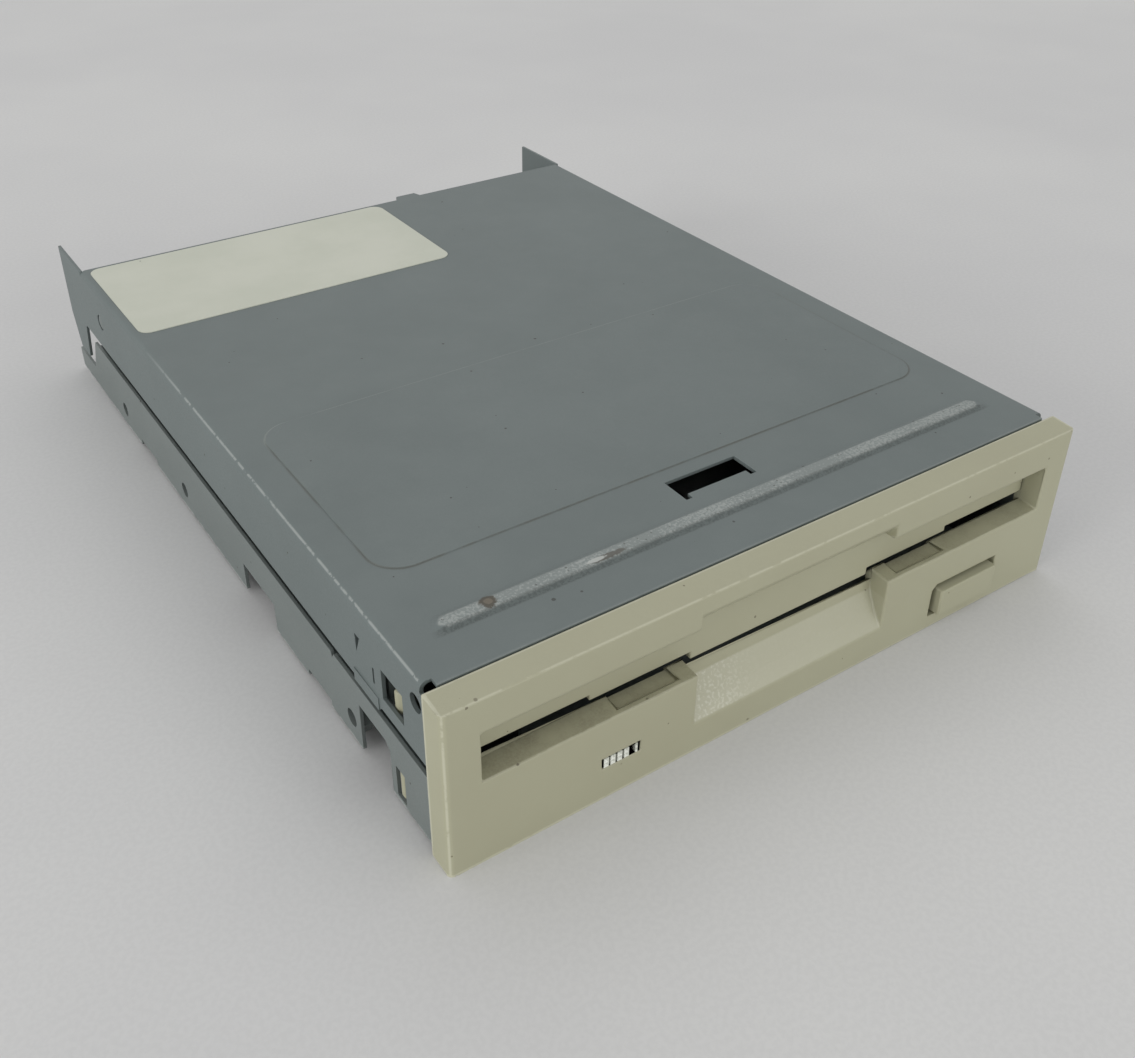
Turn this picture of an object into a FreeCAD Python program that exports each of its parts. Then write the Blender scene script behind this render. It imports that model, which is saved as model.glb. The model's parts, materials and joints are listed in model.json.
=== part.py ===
import FreeCAD, Part
import Sketcher
import math
import os
import re

# A bare internal floppy disk drive for 3.5 inch disks, in millimetres.
# X runs to the right seen from the front, Y runs to the rear and Z up.
# The origin is the bottom centre of the front bezel's back plane.
# The drive is shown empty: flap shut, eject button in, disk holder up, heads on track 0.

doc = FreeCAD.newDocument("disk_drive")
sheet = doc.addObject("Spreadsheet::Sheet", "dims")
rows = []


def size(name, value):
    # one driving dimension, in its own cell with its name as alias
    rows.append(name)
    cell = "A%d" % len(rows)
    sheet.set(cell, str(value))
    sheet.setAlias(cell, name)


def cell(name):
    return float(sheet.get(name))


def worth(text):
    # the value of one cell, or of one cell less another
    parts = text.split(" - ")
    return cell(parts[0]) - sum(cell(name) for name in parts[1:])


# Sheet metal and the overall box
size("skin", 0.8)
size("cover_skin", 0.5)
size("half_shell", 50.3)
size("top_level", 25.0)
size("cover_front", 0.15)
size("cover_rear", 125.0)
size("ear_rear", 138.5)
size("past", 60.0)
size("over", 1.0)

# Top cover
size("flange_low", 13.1)
size("flange_dip", 12.65)
size("dip_front", 12.0)
size("dip_rear", 18.3)
size("dip_slope", 0.5)
size("press_out", 0.2)
size("press_top", 14.45)
size("ear_low", 5.7)
size("ear_foot_front", 131.0)
size("ear_foot_rear", 136.2)
size("ear_knee", 12.0)
size("ear_neck_y", 129.0)
size("ear_neck_z", 12.6)
size("ear_root", 128.0)
size("bend_out", 1.0)
size("bend_in", 0.5)
size("tab_left", 12.0)
size("tab_right", 17.0)
size("tab_out", 1.6)
size("tab_slope", 0.5)
size("corner_nick", 1.2)
size("corner_wide", 1.5)
size("corner_low", 23.6)
size("round_hole_y", 2.5)
size("round_hole_z", 21.3)
size("round_hole_r", 1.25)
size("look_front", 5.8)
size("look_rear", 10.9)
size("look_low", 15.1)
size("look_high", 19.6)
size("slit_front", 12.85)
size("slit_rear", 13.25)
size("slit_low", 15.8)
size("slit_high", 18.2)
size("lance_front", 16.2)
size("lance_rear", 17.5)
size("lance_high", 20.3)
size("lance_tip_y", 17.35)
size("lance_tip_z", 17.5)
size("snap_y", 116.6)
size("snap_z", 18.6)
size("snap_hole_r", 1.4)
size("snap_r", 1.2)
size("snap_out", 50.2)
size("top_window_half", 5.9)
size("top_window_front", 13.1)
size("top_window_rear", 16.7)
size("relief_front", 12.1)
size("relief_wide", 1.0)
size("rib_left", 44.9)
size("rib_right", 44.7)
size("rib_front", 6.5)
size("rib_rear", 9.9)
size("rib_cut", 1.2)
size("rib_slope", 1.0)
size("rib_rise", 0.4)
size("panel_left", 45.3)
size("panel_right", 45.1)
size("panel_front", 19.2)
size("panel_rear", 57.8)
size("panel_rise", 0.12)
size("panel_round", 4.5)

# Chassis frame
size("wall_front", 0.8)
size("wall_low", 0.7)
size("ledge_top", 11.35)
size("shelf_low", 9.75)
size("shelf_high", 10.55)
size("deck_low", 7.6)
size("deck_top", 8.6)
size("deck_front", 1.2)
size("deck_rear", 124.5)
size("tail_front", 128.5)
size("tail_top", 4.6)
size("tail_rear", 138.0)
size("inner_out", 49.2)
size("inner_in", 48.4)
size("inner_top", 11.9)
size("foot_front", 10.4)
size("foot_rear", 18.4)
size("foot_high", 8.2)
size("foot_cut", 1.0)
size("mid_front", 45.2)
size("mid_rear", 56.2)
size("mid_high", 5.3)
size("raise_front_a", 27.5)
size("raise_rear_a", 34.5)
size("raise_front_b", 95.5)
size("raise_rear_b", 103.5)
size("raise_high", 1.7)
size("side_hole_a", 21.0)
size("side_hole_b", 81.0)
size("side_hole_c", 111.0)
size("side_hole_z", 4.0)
size("side_hole_r", 1.25)
size("collar_r", 2.3)
size("collar_in", 48.5)
size("low_hook_front", 6.9)
size("low_hook_rear", 9.1)
size("low_hook_low", 1.3)
size("low_hook_high", 6.1)
size("nick_y", 25.4)
size("nick_half", 0.4)
size("nick_deep", 0.8)
size("gap_front_a", 34.0)
size("gap_rear_a", 42.0)
size("gap_front_b", 45.0)
size("gap_rear_b", 51.0)
size("hook_tab_front", 5.2)
size("hook_tab_rear", 12.3)
size("hook_tab_top", 20.2)
size("hook_hole_front", 6.3)
size("hook_hole_rear", 11.4)
size("hook_hole_low", 14.2)
size("hook_hole_high", 18.0)
size("pin_tab_half", 4.0)
size("pin_tab_top", 17.6)
size("pin_slot_half", 1.05)
size("pin_slot_low", 11.7)
size("rear_tab_front", 111.0)
size("rear_tab_rear", 122.0)
size("rear_tab_top", 20.6)
size("hub_hole_r", 16.0)
size("bay_left", 18.0)
size("bay_right", 16.0)
size("bay_front", 71.0)
size("bay_rear", 118.0)
size("rod_slot_half", 2.0)
size("rod_slot_front", 66.5)
size("rod_slot_rear", 122.0)
size("motor_bay_left", 22.0)
size("motor_bay_right", 3.0)
size("motor_bay_front", 112.0)
size("notch_left", 29.0)
size("notch_right", 36.0)
size("notch_front", 9.6)
size("notch_rear", 16.6)
size("deck_hole_r", 4.0)
size("deck_hole_x", 28.0)
size("boss_r", 2.2)
size("front_board_x", 34.0)
size("front_board_y", 11.0)
size("front_board_rear", 70.0)
size("front_board_right", 17.0)
size("rear_board_x", 42.0)
size("rear_board_a", 88.0)
size("rear_board_b", 118.0)

# Front bezel
size("bezel_half", 50.8)
size("bezel_deep", 4.0)
size("bezel_high", 24.9)
size("bezel_lip", 24.6)
size("edge_round", 0.8)
size("slot_half", 46.1)
size("slot_low", 12.6)
size("slot_ledge", 12.9)
size("ledge_back", 1.0)
size("slot_high", 19.45)
size("lip_round", 0.6)
size("lip_mid", 0.18)
size("lip_back", 0.7)
size("lip_drop", 0.9)
size("dish_in", 18.5)
size("dish_out", 27.5)
size("dish_front", 3.1)
size("dish_low", 12.45)
size("ramp_half", 16.1)
size("ramp_low", 4.75)
size("ramp_mid_y", 2.55)
size("ramp_mid_z", 6.9)
size("ramp_top_y", 1.1)
size("ramp_top_z", 9.8)
size("sill_y", 0.9)
size("sill_z", 11.3)
size("brow_front_z", 22.0)
size("brow_back_y", 2.03)
size("flap_room_front", 1.5)
size("flap_room_half", 46.4)
size("flap_room_high", 22.0)
size("key_left", 26.0)
size("key_right", 38.9)
size("key_low", 2.2)
size("key_high", 7.55)
size("lamp_left", 30.0)
size("lamp_right", 24.5)
size("lamp_low", 5.1)
size("lamp_high", 6.7)
size("lug_in", 46.4)
size("lug_out", 48.0)
size("lug_deep", 2.0)
size("lug_low", 19.2)
size("lug_high", 21.6)
size("hinge_y", 0.2)
size("hinge_z", 20.4)
size("hinge_bore_r", 0.65)
size("hollow_deep", 2.0)
size("hollow_low", 1.4)
size("hollow_high", 11.0)
size("hollow_side", 49.2)
size("hollow_lamp_out", 32.0)
size("hollow_lamp_in", 22.6)
size("hollow_ramp", 17.6)
size("hollow_key_in", 24.6)
size("hollow_key_out", 40.3)
size("high_arm_in", 47.2)
size("high_arm_out", 48.2)
size("high_arm_low", 14.3)
size("high_arm_high", 17.6)
size("high_barb_front", 6.4)
size("high_barb_peak", 8.6)
size("high_barb_rear", 9.3)
size("high_barb_out", 49.6)
size("low_arm_in", 48.1)
size("low_arm_out", 49.3)
size("low_arm_low", 1.6)
size("low_arm_high", 5.8)
size("low_barb_front", 6.6)
size("low_barb_peak", 7.7)
size("low_barb_rear", 8.4)
size("low_barb_out", 50.1)

# Dust flap
size("flap_half", 45.8)
size("flap_front", 1.0)
size("flap_back", 0.1)
size("flap_end_low", 14.4)
size("flap_mid_low", 13.6)
size("flap_tongue_low", 12.5)
size("flap_mid_half", 30.0)
size("flap_tongue_half", 15.0)
size("flap_top", 20.9)
size("flap_pin_r", 0.6)
size("flap_pin_half", 47.6)

# Eject button
size("button_left", 27.0)
size("button_right", 38.2)
size("button_low", 2.5)
size("button_high", 6.7)
size("button_front", 4.87)
size("button_back", 3.5)
size("button_wall", 1.2)
size("stem_left", 30.5)
size("stem_right", 34.5)
size("stem_low", 3.2)
size("stem_high", 6.2)
size("stem_rear", 15.0)

# Activity lamp
size("lens_left", 29.9)
size("lens_right", 24.6)
size("lens_low", 5.2)
size("lens_high", 6.6)
size("lens_back", 2.8)
size("led_left", 29.2)
size("led_right", 25.3)
size("led_front", 3.0)
size("led_back", 6.0)
size("led_low", 4.4)
size("led_high", 7.2)
size("leg_half", 0.25)
size("leg_a", 28.5)
size("leg_b", 26.0)
size("leg_y", 4.7)

# Disk holder and its guide pins
size("holder_half", 47.0)
size("holder_top", 17.9)
size("holder_front", 9.0)
size("holder_rear", 97.0)
size("lip_low", 12.4)
size("lip_in", 42.5)
size("head_gap_half", 11.0)
size("head_gap_front", 70.0)
size("lever_gap_right", 18.0)
size("lever_gap_front", 76.0)
size("mouth_half", 30.0)
size("mouth_deep", 4.0)
size("tongue_x", 30.0)
size("tongue_half", 3.0)
size("tongue_front", 30.0)
size("tongue_rear", 52.0)
size("tongue_slot", 1.2)
size("guide_r", 1.0)
size("guide_out", 49.15)
size("guide_z", 15.2)
size("guide_a", 24.0)
size("guide_b", 76.0)
size("drop", 2.4)
size("stroke", 4.5)

# Eject slider
size("slider_out", 48.1)
size("slider_low", 8.9)
size("slider_front", 13.5)
size("slider_rear", 98.6)
size("slider_cross", 21.0)
size("slider_arm_in", 40.0)
size("slider_rail", 11.2)
size("cheek_front", 8.0)
size("cheek_rear", 10.0)
size("cheek_top", 17.0)
size("ramp_play", 1.1)
size("ramp_lead", 0.4)
size("catch_front", 93.0)
size("catch_tab_front", 97.5)
size("catch_low", 18.3)
size("catch_high", 19.1)
size("catch_in", 44.0)
size("down_left", 30.0)
size("down_right", 35.0)
size("down_low", 3.2)

# Shutter lever
size("lever_low", 18.2)
size("lever_high", 19.0)
size("lever_x", 36.0)
size("lever_y", 92.0)
size("lever_hub_r", 3.2)
size("lever_bore_r", 1.55)
size("lever_pin_x", 15.8)
size("lever_pin_y", 79.0)
size("lever_eye_r", 2.0)
size("lever_pin_r", 1.0)
size("lever_pin_low", 13.8)
size("lever_tail_x", 45.0)
size("lever_tail_y", 96.2)
size("lever_tail_r", 1.0)
size("rivet_r", 1.5)
size("rivet_head_r", 2.4)
size("rivet_head_low", 19.1)
size("rivet_head_high", 19.6)

# Spindle and its motor
size("spindle_y", 52.0)
size("rotor_r", 23.0)
size("rotor_low", 3.2)
size("rotor_top", 7.0)
size("rotor_wall", 1.0)
size("rotor_roof", 0.8)
size("rotor_boss_r", 5.0)
size("rotor_boss_top", 9.6)
size("shaft_r", 2.0)
size("magnet_in", 9.0)
size("magnet_out", 20.0)
size("magnet_low", 4.9)
size("chuck_r", 13.5)
size("chuck_top", 10.8)
size("shaft_low", 2.9)
size("shaft_top", 12.6)
size("drive_pin_r", 1.0)
size("drive_pin_off", 10.0)
size("drive_pin_top", 12.0)
size("sleeve_r", 3.5)
size("sleeve_bore", 2.05)
size("sleeve_top", 6.0)
size("coil_near", 10.9)
size("coil_bend", 16.6)
size("coil_far", 18.1)
size("coil_eye_near", 13.0)
size("coil_eye_far", 15.8)
size("coil_top", 4.3)

# Circuit boards
size("motor_board_low", 1.6)
size("motor_board_top", 2.6)
size("motor_board_left", 40.0)
size("motor_board_right", 23.0)
size("motor_board_front", 4.0)
size("motor_board_rear", 78.0)
size("main_board_top", 3.2)
size("main_board_half", 47.0)
size("main_board_front", 82.0)
size("main_board_rear", 134.0)
size("board_bay_front", 117.0)
size("chip_top", 4.7)
size("driver_left", 38.0)
size("driver_right", 24.0)
size("driver_front", 92.0)
size("driver_rear", 106.0)
size("logic_left", 26.0)
size("logic_right", 36.0)
size("logic_front", 96.0)
size("logic_rear", 104.0)
size("line_right", 33.0)
size("line_front", 108.0)
size("line_rear", 120.0)

# Connectors at the rear
size("header_left", 0.5)
size("header_right", 46.5)
size("header_front", 125.3)
size("header_rear", 134.5)
size("header_top", 12.0)
size("header_wall", 1.2)
size("header_back", 1.5)
size("header_key_half", 2.3)
size("pitch", 2.54)
size("header_pin_half", 0.32)
size("header_pin_rear", 133.0)
size("header_row_a", 6.33)
size("header_row_b", 8.87)
size("power_left", 44.0)
size("power_right", 33.0)
size("power_top", 9.5)
size("power_pitch", 2.5)
size("power_pin_half", 0.5)
size("power_row", 6.3)

# Head carriage, guide rod and lead screw
size("axis_z", 9.0)
size("rod_x", 11.5)
size("rod_r", 1.5)
size("rod_bore", 1.55)
size("rod_front", 67.0)
size("rod_rear", 121.8)
size("carriage_left", 8.0)
size("carriage_right", 15.0)
size("carriage_front", 86.5)
size("carriage_rear", 118.0)
size("carriage_low", 5.6)
size("carriage_top", 10.6)
size("nose_low", 8.9)
size("bush_front", 100.0)
size("bush_gap_front", 104.0)
size("bush_gap_rear", 113.0)
size("bush_gap_left", 8.6)
size("nut_front", 113.5)
size("nut_left", 16.0)
size("nut_bore", 1.6)
size("nut_low", 5.6)
size("nut_top", 12.0)
size("block_front", 112.5)
size("block_floor", 16.5)
size("block_top", 21.4)
size("ear_in", 5.6)
size("arm_pin_y", 115.5)
size("arm_pin_z", 19.6)
size("arm_pin_r", 0.75)
size("arm_bore_r", 0.8)
size("arm_barrel_r", 1.6)
size("arm_half", 5.0)
size("arm_tip_half", 3.0)
size("arm_front", 87.0)
size("arm_low", 19.3)
size("arm_top", 20.9)
size("head_y", 91.5)
size("head_half", 3.5)
size("head_wide", 3.0)
size("low_head_top", 12.5)
size("high_head_low", 17.1)
size("flag_front", 113.8)
size("flag_rear", 117.4)
size("flag_arm_low", 6.5)
size("flag_arm_top", 7.2)
size("flag_left", 19.5)
size("flag_right", 20.1)
size("flag_low", 4.6)
size("eye_left", 17.2)
size("eye_slot_left", 19.1)
size("eye_slot_right", 20.5)
size("eye_right", 22.4)
size("eye_front", 112.4)
size("eye_rear", 118.2)
size("eye_top", 6.2)
size("eye_floor", 4.2)
size("screw_x", 12.5)
size("screw_r", 1.5)
size("screw_tip_r", 0.95)
size("screw_front", 96.9)
size("screw_shoulder", 98.2)
size("screw_rear", 120.7)
size("bracket_front", 97.0)
size("bracket_rear", 120.0)
size("bracket_left", 16.0)
size("bracket_right", 9.0)
size("bracket_low", 3.6)
size("bracket_strip", 4.4)
size("bracket_ear_top", 11.2)
size("bracket_bore", 1.56)
size("bracket_tip_bore", 1.0)
size("plate_left", 20.0)
size("plate_right", 5.0)
size("plate_low", 2.6)
size("plate_top", 16.2)
size("foot_left", 28.0)
size("foot_right", 3.0)
size("foot_y", 113.0)
size("foot_right_y", 118.6)
size("foot_right_in", 2.5)
size("foot_right_rear", 124.0)
size("stepper_r", 7.5)
size("stepper_rear", 133.6)
size("terminal_half", 3.5)
size("terminal_front", 122.0)
size("terminal_rear", 129.0)
size("terminal_top", 18.0)
size("clamp_left", 9.0)
size("clamp_step", 14.0)
size("clamp_right", 20.0)
size("clamp_top", 10.8)
size("clamp_ear", 9.6)
size("clamp_a_front", 66.5)
size("clamp_a_rear", 70.5)
size("clamp_b_front", 118.6)
size("clamp_b_rear", 122.0)

# Small screws
size("small_r", 0.9)
size("small_head_r", 1.8)
size("small_head", 0.8)
size("clamp_screw_x", 17.5)
size("foot_screw_left_x", 25.0)
size("foot_screw_left_y", 117.0)
size("foot_screw_right_x", 0.5)
size("foot_screw_right_y", 122.2)
size("board_screw_grip", 3.0)

# Disk rests and switches on the deck
size("post_x", 38.0)
size("post_a", 24.0)
size("post_b", 84.0)
size("post_r", 1.5)
size("post_top", 11.0)
size("switch_in", 37.5)
size("switch_out", 45.5)
size("switch_front", 2.4)
size("switch_rear", 8.3)
size("switch_top", 10.7)
size("plunger_x", 41.5)
size("plunger_y", 5.4)
size("plunger_half", 0.7)
size("plunger_low", 9.7)
size("plunger_top", 11.8)
size("plunger_play", 0.1)

# Label on the cover
size("label_left", 49.0)
size("label_right", 7.3)
size("label_front", 95.2)
size("label_rear", 124.2)
size("label_thick", 0.12)
size("label_round", 2.0)

doc.recompute()


# Helpers for sketches and features
def bound(text):
    # plain names in an expression become cells of the sheet
    return re.sub(r"\b[a-z][a-z_]*\b(?!\()", lambda word: "dims." + word.group(0), text)


def new_body(name):
    body = doc.addObject("PartDesign::Body", name)
    body.Label = name
    return body


def base_plane(body, plane):
    for item in body.Origin.OriginFeatures:
        if getattr(item, "Role", "") == plane + "_Plane":
            return item


def fix_point(sketch, curve, spot, across, up):
    for kind, text in (("DistanceX", across), ("DistanceY", up)):
        index = sketch.addConstraint(Sketcher.Constraint(kind, -1, 1, curve, spot, 1.0))
        sketch.setExpression("Constraints[%d]" % index, bound(text))


def add_outline(sketch, corners):
    # a closed outline of straight edges, each corner held by the sheet
    first = sketch.GeometryCount
    count = len(corners)
    for i in range(count):
        here = 2.0 * math.pi * i / count
        there = 2.0 * math.pi * (i + 1) / count
        sketch.addGeometry(Part.LineSegment(
            FreeCAD.Vector(math.cos(here), math.sin(here), 0),
            FreeCAD.Vector(math.cos(there), math.sin(there), 0)))
    for i in range(count):
        after = first + (i + 1) % count
        sketch.addConstraint(Sketcher.Constraint("Coincident", first + i, 2, after, 1))
    for i, (across, up) in enumerate(corners):
        fix_point(sketch, first + i, 1, across, up)


def add_circle(sketch, across, up, radius):
    index = sketch.GeometryCount
    sketch.addGeometry(Part.Circle(FreeCAD.Vector(1, 1, 0), FreeCAD.Vector(0, 0, 1), 1.0))
    fix_point(sketch, index, 3, across, up)
    which = sketch.addConstraint(Sketcher.Constraint("Radius", index, 1.0))
    sketch.setExpression("Constraints[%d]" % which, bound(radius))


def draw(body, plane, level, outlines):
    # outlines on a plane parallel to one of the body's own base planes
    sketch = body.newObject("Sketcher::SketchObject", body.Name + "_outline")
    sketch.AttachmentSupport = (base_plane(body, plane), [""])
    sketch.MapMode = "FlatFace"
    sign = "-1" if plane == "XZ" else "1"
    sketch.setExpression("AttachmentOffset.Base.z", bound(sign + " * (" + level + ")"))
    for outline in outlines:
        if isinstance(outline, tuple):
            add_circle(sketch, *outline)
        else:
            add_outline(sketch, outline)
    sketch.Visibility = False
    return sketch


def pad(body, plane, low, high, outlines):
    sketch = draw(body, plane, low, outlines)
    feature = body.newObject("PartDesign::Pad", body.Name + "_pad")
    feature.Profile = sketch
    feature.Reversed = plane == "XZ"
    feature.setExpression("Length", bound("(" + high + ") - (" + low + ")"))
    return feature


def pocket(body, plane, low, high, outlines):
    sketch = draw(body, plane, low, outlines)
    feature = body.newObject("PartDesign::Pocket", body.Name + "_pocket")
    feature.Profile = sketch
    feature.Reversed = plane != "XZ"
    feature.setExpression("Length", bound("(" + high + ") - (" + low + ")"))
    return feature


def revolve(body, corners):
    # a turned piece about its own Z axis, drawn as radius and height
    sketch = draw(body, "XZ", "0", [corners])
    feature = body.newObject("PartDesign::Revolution", body.Name + "_turn")
    feature.Profile = sketch
    feature.ReferenceAxis = (sketch, ["V_Axis"])
    feature.Angle = 360.0
    return feature


def box(left, right, low, high):
    return [(left, low), (right, low), (right, high), (left, high)]


def many_sided(across, up, radius, count):
    # corners of a small turned shape, drawn with a few straight sides
    corners = []
    for index in range(count):
        turn = 2.0 * math.pi * index / count
        corners.append((
            "%s + (%.5f) * %s" % (across, math.cos(turn), radius),
            "%s + (%.5f) * %s" % (up, math.sin(turn), radius)))
    return corners


def both_sides(body, inner, outer, outlines, maker=pad):
    # the same piece of sheet on the left and on the right side
    maker(body, "YZ", "-1 * (" + outer + ")", "-1 * (" + inner + ")", outlines)
    maker(body, "YZ", inner, outer, outlines)


def through(body, outlines):
    # cut straight across the drive, through both side walls
    pocket(body, "YZ", "-past", "past", outlines)


def edges_where(feature, test):
    # names of the straight edges whose two ends pass the test together
    names = []
    for index, edge in enumerate(feature.Shape.Edges):
        ends = [vertex.Point for vertex in edge.Vertexes]
        if len(ends) == 2 and test(ends[0], ends[1]):
            names.append("Edge%d" % (index + 1))
    return names


def soften(body, test, radius):
    doc.recompute()
    base = body.Tip
    feature = body.newObject("PartDesign::Fillet", body.Name + "_round")
    feature.Base = (base, edges_where(base, test))
    feature.setExpression("Radius", bound(radius))
    return feature


CLOSE = 0.01


def near(value, target):
    return abs(value - target) < CLOSE


def place(item, across, deep, up):
    for axis, text in (("x", across), ("y", deep), ("z", up)):
        item.setExpression("Placement.Base." + axis, bound(text))


def block(name, low, high):
    # a plain block between two corners
    item = doc.addObject("Part::Box", name)
    for side, a, b in zip(("Length", "Width", "Height"), low, high):
        item.setExpression(side, bound("(" + b + ") - (" + a + ")"))
    place(item, *low)
    return item


def lay_along(item, along):
    # turn an upright bar so that it lies along another axis
    if along == "Y":
        item.Placement.Rotation = FreeCAD.Rotation(FreeCAD.Vector(1, 0, 0), -90)
    if along == "X":
        item.Placement.Rotation = FreeCAD.Rotation(FreeCAD.Vector(0, 1, 0), 90)


def round_bar(name, radius, length, spot, along="Z"):
    item = doc.addObject("Part::Cylinder", name)
    item.setExpression("Radius", bound(radius))
    item.setExpression("Height", bound(length))
    lay_along(item, along)
    place(item, *spot)
    return item


def small_bar(name, sides, radius, length, spot, along="Z"):
    # a tiny bar with a few flat sides, for pins, screws and rests
    item = doc.addObject("Part::Prism", name)
    item.Polygon = sides
    item.setExpression("Circumradius", bound(radius))
    item.setExpression("Height", bound(length))
    lay_along(item, along)
    place(item, *spot)
    return item


def group(name, items):
    whole = doc.addObject("Part::Compound", name)
    whole.Links = items
    whole.Label = name
    return whole


def fuse(name, items):
    whole = doc.addObject("Part::MultiFuse", name)
    whole.Shapes = items
    return whole


# Top cover, pressed from one sheet
def raised_rib(body):
    # a stiffening rib with sloped sides and cut corners, hollow underneath
    feature = pad(body, "XY", "top_level", "top_level + rib_rise", [[
        ("rib_cut - rib_left", "rib_front"),
        ("rib_right - rib_cut", "rib_front"),
        ("rib_right", "rib_front + rib_cut"),
        ("rib_right", "rib_rear - rib_cut"),
        ("rib_right - rib_cut", "rib_rear"),
        ("rib_cut - rib_left", "rib_rear"),
        ("-rib_left", "rib_rear - rib_cut"),
        ("-rib_left", "rib_front + rib_cut")]])
    feature.setExpression("TaperAngle", bound("-atan(rib_slope / rib_rise)"))
    pocket(body, "YZ", "rib_cut - rib_left", "rib_right - rib_cut", [
        box("rib_front + rib_slope", "rib_rear - rib_slope", "top_level - cover_skin",
            "top_level + rib_rise - cover_skin")])


def raised_panel(body):
    # a large flat panel pressed up by a hair, with round corners
    pad(body, "XY", "top_level", "top_level + panel_rise", [
        box("-panel_left", "panel_right", "panel_front", "panel_rear")])
    top = cell("top_level") + cell("panel_rise")
    soften(body, lambda a, b: near(a.x, b.x) and near(a.y, b.y) and near(max(a.z, b.z), top), "panel_round")


def top_cover():
    body = new_body("top_cover")
    pad(body, "XY", "top_level - cover_skin", "top_level", [[
        ("-half_shell", "cover_front"),
        ("half_shell", "cover_front"),
        ("half_shell", "cover_rear"),
        ("tab_right", "cover_rear"),
        ("tab_right - tab_slope", "cover_rear + tab_out"),
        ("tab_left + tab_slope", "cover_rear + tab_out"),
        ("tab_left", "cover_rear"),
        ("-half_shell", "cover_rear")]])
    flange = [
        ("cover_front", "top_level"),
        ("cover_front", "flange_low"),
        ("dip_front - dip_slope", "flange_low"),
        ("dip_front", "flange_dip"),
        ("dip_rear", "flange_dip"),
        ("dip_rear + dip_slope", "flange_low"),
        ("cover_rear", "flange_low"),
        ("cover_rear", "top_level")]
    ear = [
        ("cover_rear", "top_level"),
        ("cover_rear", "flange_low"),
        ("ear_root", "flange_low"),
        ("ear_neck_y", "ear_neck_z"),
        ("ear_foot_front", "ear_low"),
        ("ear_foot_rear", "ear_low"),
        ("ear_rear", "ear_knee"),
        ("ear_rear", "top_level")]
    both_sides(body, "half_shell - cover_skin", "half_shell", [flange])
    for wide, high, radius in (
            ("half_shell", "top_level", "bend_out"),
            ("half_shell - cover_skin", "top_level - cover_skin", "bend_in")):
        across, up = worth(wide), worth(high)
        soften(body, lambda a, b: near(abs(a.x), across) and near(a.x, b.x) and near(a.z, up) and near(b.z, up),
               radius)
    both_sides(body, "half_shell - cover_skin", "half_shell", [ear])
    both_sides(body, "half_shell", "half_shell + press_out", [
        box("dip_front", "dip_rear", "flange_dip", "press_top")])
    through(body, [
        ("round_hole_y", "round_hole_z", "round_hole_r"),
        ("snap_y", "snap_z", "snap_hole_r"),
        box("look_front", "look_rear", "look_low", "look_high"),
        box("slit_front", "slit_rear", "slit_low", "slit_high"),
        [("lance_front", "lance_high"), ("lance_tip_y", "lance_tip_z"), ("lance_rear", "lance_high")]])
    pocket(body, "XY", "corner_low", "top_level", [
        box("-half_shell", "corner_wide - half_shell", "cover_front", "cover_front + corner_nick"),
        box("half_shell - corner_wide", "half_shell", "cover_front", "cover_front + corner_nick")])
    raised_rib(body)
    raised_panel(body)
    pocket(body, "XY", "top_level - cover_skin", "top_level", [[
        ("-top_window_half", "top_window_rear"),
        ("-top_window_half", "relief_front"),
        ("relief_wide - top_window_half", "relief_front"),
        ("relief_wide - top_window_half", "top_window_front"),
        ("top_window_half - relief_wide", "top_window_front"),
        ("top_window_half - relief_wide", "relief_front"),
        ("top_window_half", "relief_front"),
        ("top_window_half", "top_window_rear")]])
    return body


# Blank paper label on the cover
def blank_label():
    body = new_body("blank_label")
    pad(body, "XY", "top_level", "top_level + label_thick", [
        box("-label_left", "label_right", "label_front", "label_rear")])
    soften(body, lambda a, b: near(a.x, b.x) and near(a.y, b.y), "label_round")
    return body


# Chassis frame: side walls, inner rails and the deck
def frame_walls(body):
    outer = [
        ("wall_front", "wall_low"),
        ("foot_front", "wall_low"),
        ("foot_front", "foot_high - foot_cut"),
        ("foot_front + foot_cut", "foot_high"),
        ("foot_rear", "foot_high"),
        ("foot_rear", "wall_low"),
        ("raise_front_a", "wall_low"),
        ("raise_front_a", "raise_high"),
        ("raise_rear_a", "raise_high"),
        ("raise_rear_a", "wall_low"),
        ("mid_front", "wall_low"),
        ("mid_front", "mid_high"),
        ("mid_rear", "mid_high"),
        ("mid_rear", "wall_low"),
        ("raise_front_b", "wall_low"),
        ("raise_front_b", "raise_high"),
        ("raise_rear_b", "raise_high"),
        ("raise_rear_b", "wall_low"),
        ("tail_rear", "wall_low"),
        ("tail_rear", "tail_top"),
        ("tail_front", "tail_top"),
        ("deck_rear", "ledge_top"),
        ("nick_y + nick_half", "ledge_top"),
        ("nick_y", "ledge_top - nick_deep"),
        ("nick_y - nick_half", "ledge_top"),
        ("wall_front", "ledge_top")]
    both_sides(body, "half_shell - cover_skin", "half_shell", [outer])


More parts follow.
